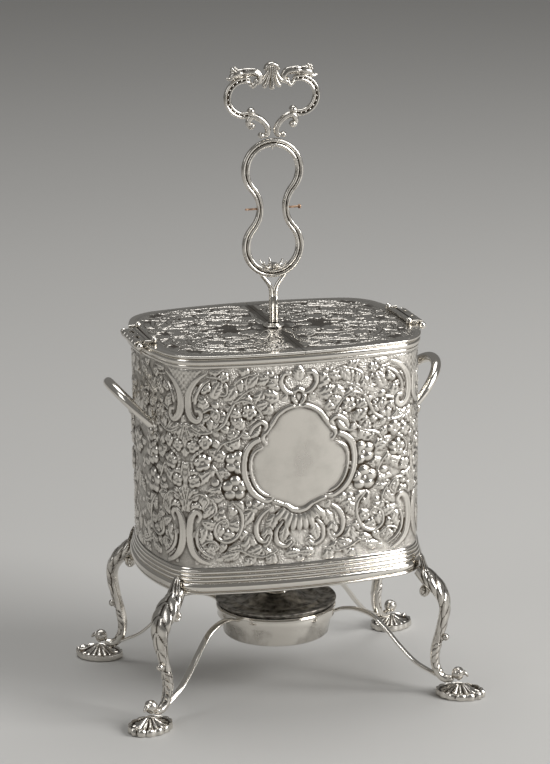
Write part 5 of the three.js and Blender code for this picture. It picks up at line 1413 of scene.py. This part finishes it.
def material(name):
    """The named finish, made on first use. Its own prefix keeps it apart from the frame's materials."""
    made, colours = bpy.data.materials.get(f"finish_{name}"), bpy.context.scene.boiler_colours
    return made or (silver(name, colours, **SILVERS[name]) if name in SILVERS else OTHERS[name](colours))


# ---------------------------------------------------------------- stage

FLOOR_DROP, FLOOR_REACH = 0.02, 14
# The lamps: name, place and size in metres. All face a point at AIM above the floor's middle.
LAMPS = (("key", (1.7, -1.2, 1.25), (1.3, 1.5)), ("fill", (-1.7, -0.6, 1.2), (0.7, 1.3)),
         ("top", (0.1, 0.5, 2.2), (1.6, 1.2)))
AIM = 0.15


def make_stage(studio):
    """A round pale floor, a pale world and three soft lamps."""
    r = np.concatenate([np.linspace(0.05, 1, 20), np.geomspace(1.1, FLOOR_REACH, 30)])[:, None] / MM
    a = angles(72)
    grid = xyz(r * np.cos(a), r * np.sin(a), -FLOOR_DROP)
    n, m = grid.shape[:2]
    mesh = bpy.data.meshes.new("floor")
    points = np.vstack([grid.reshape(-1, 3), [[0, 0, -FLOOR_DROP]]]) * MM
    k = np.arange(m)
    fan = np.stack([np.full(m, n * m), k, (k + 1) % m], -1)
    mesh.from_pydata(points.tolist(), [], lattice(n, m, flipped=True).tolist() + fan.tolist())
    mesh.update()
    floor = placed("floor", mesh)
    net = Net("floor_paper")
    net.set(Base_Color=net.blend(net.noise(2.0, 2.0), studio.floor, [c * 0.97 for c in studio.floor]),
            Roughness=0.6)
    mesh.materials.append(net.material)
    world = bpy.data.worlds.new("studio")
    bpy.context.scene.world = world
    world.use_nodes = True
    world.node_tree.nodes["Background"].inputs["Color"].default_value = (*studio.world, 1.0)
    world.node_tree.nodes["Background"].inputs["Strength"].default_value = 1.0
    for name, at, size in LAMPS:
        data = bpy.data.lights.new(name, "AREA")
        data.shape, data.size, data.size_y, data.energy = "RECTANGLE", *size, getattr(studio, name)
        lamp = placed(name, data)
        lamp.location = at
        lamp.rotation_euler = (Vector((0, 0, AIM)) - Vector(at)).to_track_quat("-Z", "Y").to_euler()
    bpy.context.scene.view_settings.view_transform = "Standard"


CAMERA_YAW, CAMERA_PITCH, CAMERA_ROLL = math.radians(16.05), math.radians(14.71), math.radians(-0.44)
CAMERA_DISTANCE, CAMERA_LENS, AIM_SIDE, AIM_HEIGHT = 1636.2, 142.25, 0.5, 168.3


def make_camera():
    """The photograph's camera: turned about the object by its yaw and pitch, rolled a little, and aimed
    at a point close beside the middle axis."""
    cy, sy, cp, sp = math.cos(CAMERA_YAW), math.sin(CAMERA_YAW), math.cos(CAMERA_PITCH), math.sin(CAMERA_PITCH)
    back = Vector((-sy * cp, -cy * cp, sp))
    level = Vector((cy, -sy, 0))
    rise = back.cross(level)
    right = math.cos(CAMERA_ROLL) * level + math.sin(CAMERA_ROLL) * rise
    up = -math.sin(CAMERA_ROLL) * level + math.cos(CAMERA_ROLL) * rise
    at = (Vector((AIM_SIDE * cy, -AIM_SIDE * sy, AIM_HEIGHT)) + CAMERA_DISTANCE * back) * MM
    data = bpy.data.cameras.new("camera")
    data.sensor_width, data.lens = 36.0, CAMERA_LENS
    camera = placed("camera", data)
    camera.matrix_world = Matrix.Translation(at) @ Matrix((right, up, back)).transposed().to_4x4()
    bpy.context.scene.camera = camera


# ---------------------------------------------------------------- add-on

class BoilerSizes(bpy.types.PropertyGroup):
    """How finely and how deeply the walls and lids are chased."""

    wall_step: FloatProperty(name="Wall grid", description="Spacing of the wall's grid in millimetres",
                             default=0.43, min=0.3)
    lid_step: FloatProperty(name="Lid grid", description="Spacing of the lids' grid in millimetres",
                            default=0.46, min=0.3)
    chasing: FloatProperty(name="Chasing", description="Scale of the chased relief's height",
                           default=1.0, min=0.0, max=1.5)


def colour_of(name, words, value):
    """A colour property."""
    return FloatVectorProperty(name=name, description=words, default=value, subtype="COLOR", size=3, min=0, max=1)


class BoilerColours(bpy.types.PropertyGroup):
    """The finishes' colours."""

    silver: colour_of("Silver", "Clean silver", (0.85, 0.815, 0.755))
    grey_silver: colour_of("Inner silver", "Duller silver inside the vessel and on the lamp", (0.56, 0.53, 0.48))
    # Tarnish and painted shade: the dark colour that the random cloud and the hollows of the cavity mask blend
    # towards.
    tarnish_and_shade: colour_of("Tarnish", "Tarnish in the recesses", (0.07, 0.054, 0.038))
    soot: colour_of("Soot", "Blackened lamp top", (0.05, 0.045, 0.04))
    copper: colour_of("Pin copper", "Waist pins where rubbed", (0.62, 0.42, 0.29))
    copper_dark: colour_of("Pin brown", "Waist pins where browned", (0.24, 0.15, 0.1))
    cotton: colour_of("Cotton", "Wick", (0.8, 0.76, 0.68))
    cotton_dark: colour_of("Cotton shade", "Wick between its strands", (0.45, 0.41, 0.35))


class BoilerStudio(bpy.types.PropertyGroup):
    """The floor, the world and the lamps."""

    floor: colour_of("Floor", "Colour of the floor", (0.5, 0.492, 0.475))
    world: colour_of("World", "Colour of the surroundings", (0.17, 0.168, 0.163))
    key: FloatProperty(name="Key lamp", description="Power of the lamp at the right", default=62.0, unit="POWER")
    fill: FloatProperty(name="Fill lamp", description="Power of the lamp at the left", default=5.0, unit="POWER")
    top: FloatProperty(name="Top lamp", description="Power of the lamp above", default=20.0, unit="POWER")


class BOILER_OT_walls(bpy.types.Operator):
    """Chase the four wall panels"""

    bl_idname = "boiler.walls"
    bl_label = "Walls"

    def execute(self, context):
        make_walls(context.scene.boiler_sizes)
        return {"FINISHED"}


class BOILER_OT_mouldings(bpy.types.Operator):
    """Carry the rim and base mouldings round the vessel"""

    bl_idname = "boiler.mouldings"
    bl_label = "Mouldings"

    def execute(self, context):
        make_mouldings()
        return {"FINISHED"}


class BOILER_OT_lids(bpy.types.Operator):
    """Chase the half lids and turn their collar"""

    bl_idname = "boiler.lids"
    bl_label = "Lids"

    def execute(self, context):
        make_lids(context.scene.boiler_sizes)
        return {"FINISHED"}


class BOILER_OT_hinges(bpy.types.Operator):
    """Build the end hinges with their barrels and pins"""

    bl_idname = "boiler.hinges"
    bl_label = "Hinges"

    def execute(self, context):
        make_hinges()
        return {"FINISHED"}


class BOILER_OT_legs(bpy.types.Operator):
    """Cast the legs and shell feet and bend the straps"""

    bl_idname = "boiler.legs"
    bl_label = "Legs"

    def execute(self, context):
        make_legs()
        return {"FINISHED"}


class BOILER_OT_lamp(bpy.types.Operator):
    """Turn the burner ring, the lamp and its wick"""

    bl_idname = "boiler.lamp"
    bl_label = "Lamp"

    def execute(self, context):
        make_lamp()
        return {"FINISHED"}


class BOILER_OT_handles(bpy.types.Operator):
    """Bend the side handles and cast their leaves"""

    bl_idname = "boiler.handles"
    bl_label = "Handles"

    def execute(self, context):
        make_handles()
        return {"FINISHED"}


class BOILER_OT_stem(bpy.types.Operator):
    """Draw the reeded stem and its fork"""

    bl_idname = "boiler.stem"
    bl_label = "Stem"

    def execute(self, context):
        make_stem()
        return {"FINISHED"}


class BOILER_OT_timer(bpy.types.Operator):
    """Bend the timer frame, with its calyx and waist pins"""

    bl_idname = "boiler.timer"
    bl_label = "Timer frame"

    def execute(self, context):
        make_timer_frame()
        return {"FINISHED"}


class BOILER_OT_grip(bpy.types.Operator):
    """Cast the scroll grip and its shell"""

    bl_idname = "boiler.grip"
    bl_label = "Grip"

    def execute(self, context):
        make_grip()
        return {"FINISHED"}


class BOILER_OT_rack(bpy.types.Operator):
    """Turn the egg rings and finish the rack"""

    bl_idname = "boiler.rack"
    bl_label = "Egg rack"

    def execute(self, context):
        make_rack()
        return {"FINISHED"}


class BOILER_OT_stage(bpy.types.Operator):
    """Set the floor, the lamps and the world"""

    bl_idname = "boiler.stage"
    bl_label = "Stage"

    def execute(self, context):
        make_stage(context.scene.boiler_studio)
        return {"FINISHED"}


class BOILER_OT_camera(bpy.types.Operator):
    """Set the photograph's camera"""

    bl_idname = "boiler.camera"
    bl_label = "Camera"

    def execute(self, context):
        make_camera()
        return {"FINISHED"}


OPERATORS = [
    BOILER_OT_walls, BOILER_OT_mouldings, BOILER_OT_lids, BOILER_OT_hinges, BOILER_OT_legs,
    BOILER_OT_lamp, BOILER_OT_handles, BOILER_OT_stem, BOILER_OT_timer, BOILER_OT_grip, BOILER_OT_rack,
    BOILER_OT_stage, BOILER_OT_camera,
]


class BOILER_PT_panel(bpy.types.Panel):
    """Lists the boiler's sizes, colours and steps."""

    bl_idname = "BOILER_PT_panel"
    bl_label = "Egg boiler"
    bl_space_type = "VIEW_3D"
    bl_region_type = "UI"
    bl_category = "Egg boiler"

    def draw(self, context):
        for group in (getattr(context.scene, key) for key in GROUPS):
            box = self.layout.box()
            for key in group.bl_rna.properties.keys():
                if key not in ("rna_type", "name"):
                    box.prop(group, key)
        for made in OPERATORS:
            self.layout.operator(made.bl_idname)


GROUPS = {"boiler_sizes": BoilerSizes, "boiler_colours": BoilerColours, "boiler_studio": BoilerStudio}


def register():
    for made in (*GROUPS.values(), *OPERATORS, BOILER_PT_panel):
        bpy.utils.register_class(made)
    for key, group in GROUPS.items():
        setattr(bpy.types.Scene, key, PointerProperty(type=group))


def unregister():
    for key in GROUPS:
        delattr(bpy.types.Scene, key)
    for made in (BOILER_PT_panel, *OPERATORS, *GROUPS.values()):
        bpy.utils.unregister_class(made)


def main():
    """Registers the add-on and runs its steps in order."""
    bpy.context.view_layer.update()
    register()
    for made in OPERATORS:
        group, key = made.bl_idname.split(".")
        getattr(getattr(bpy.ops, group), key)()


if __name__ == "__main__":
    main()
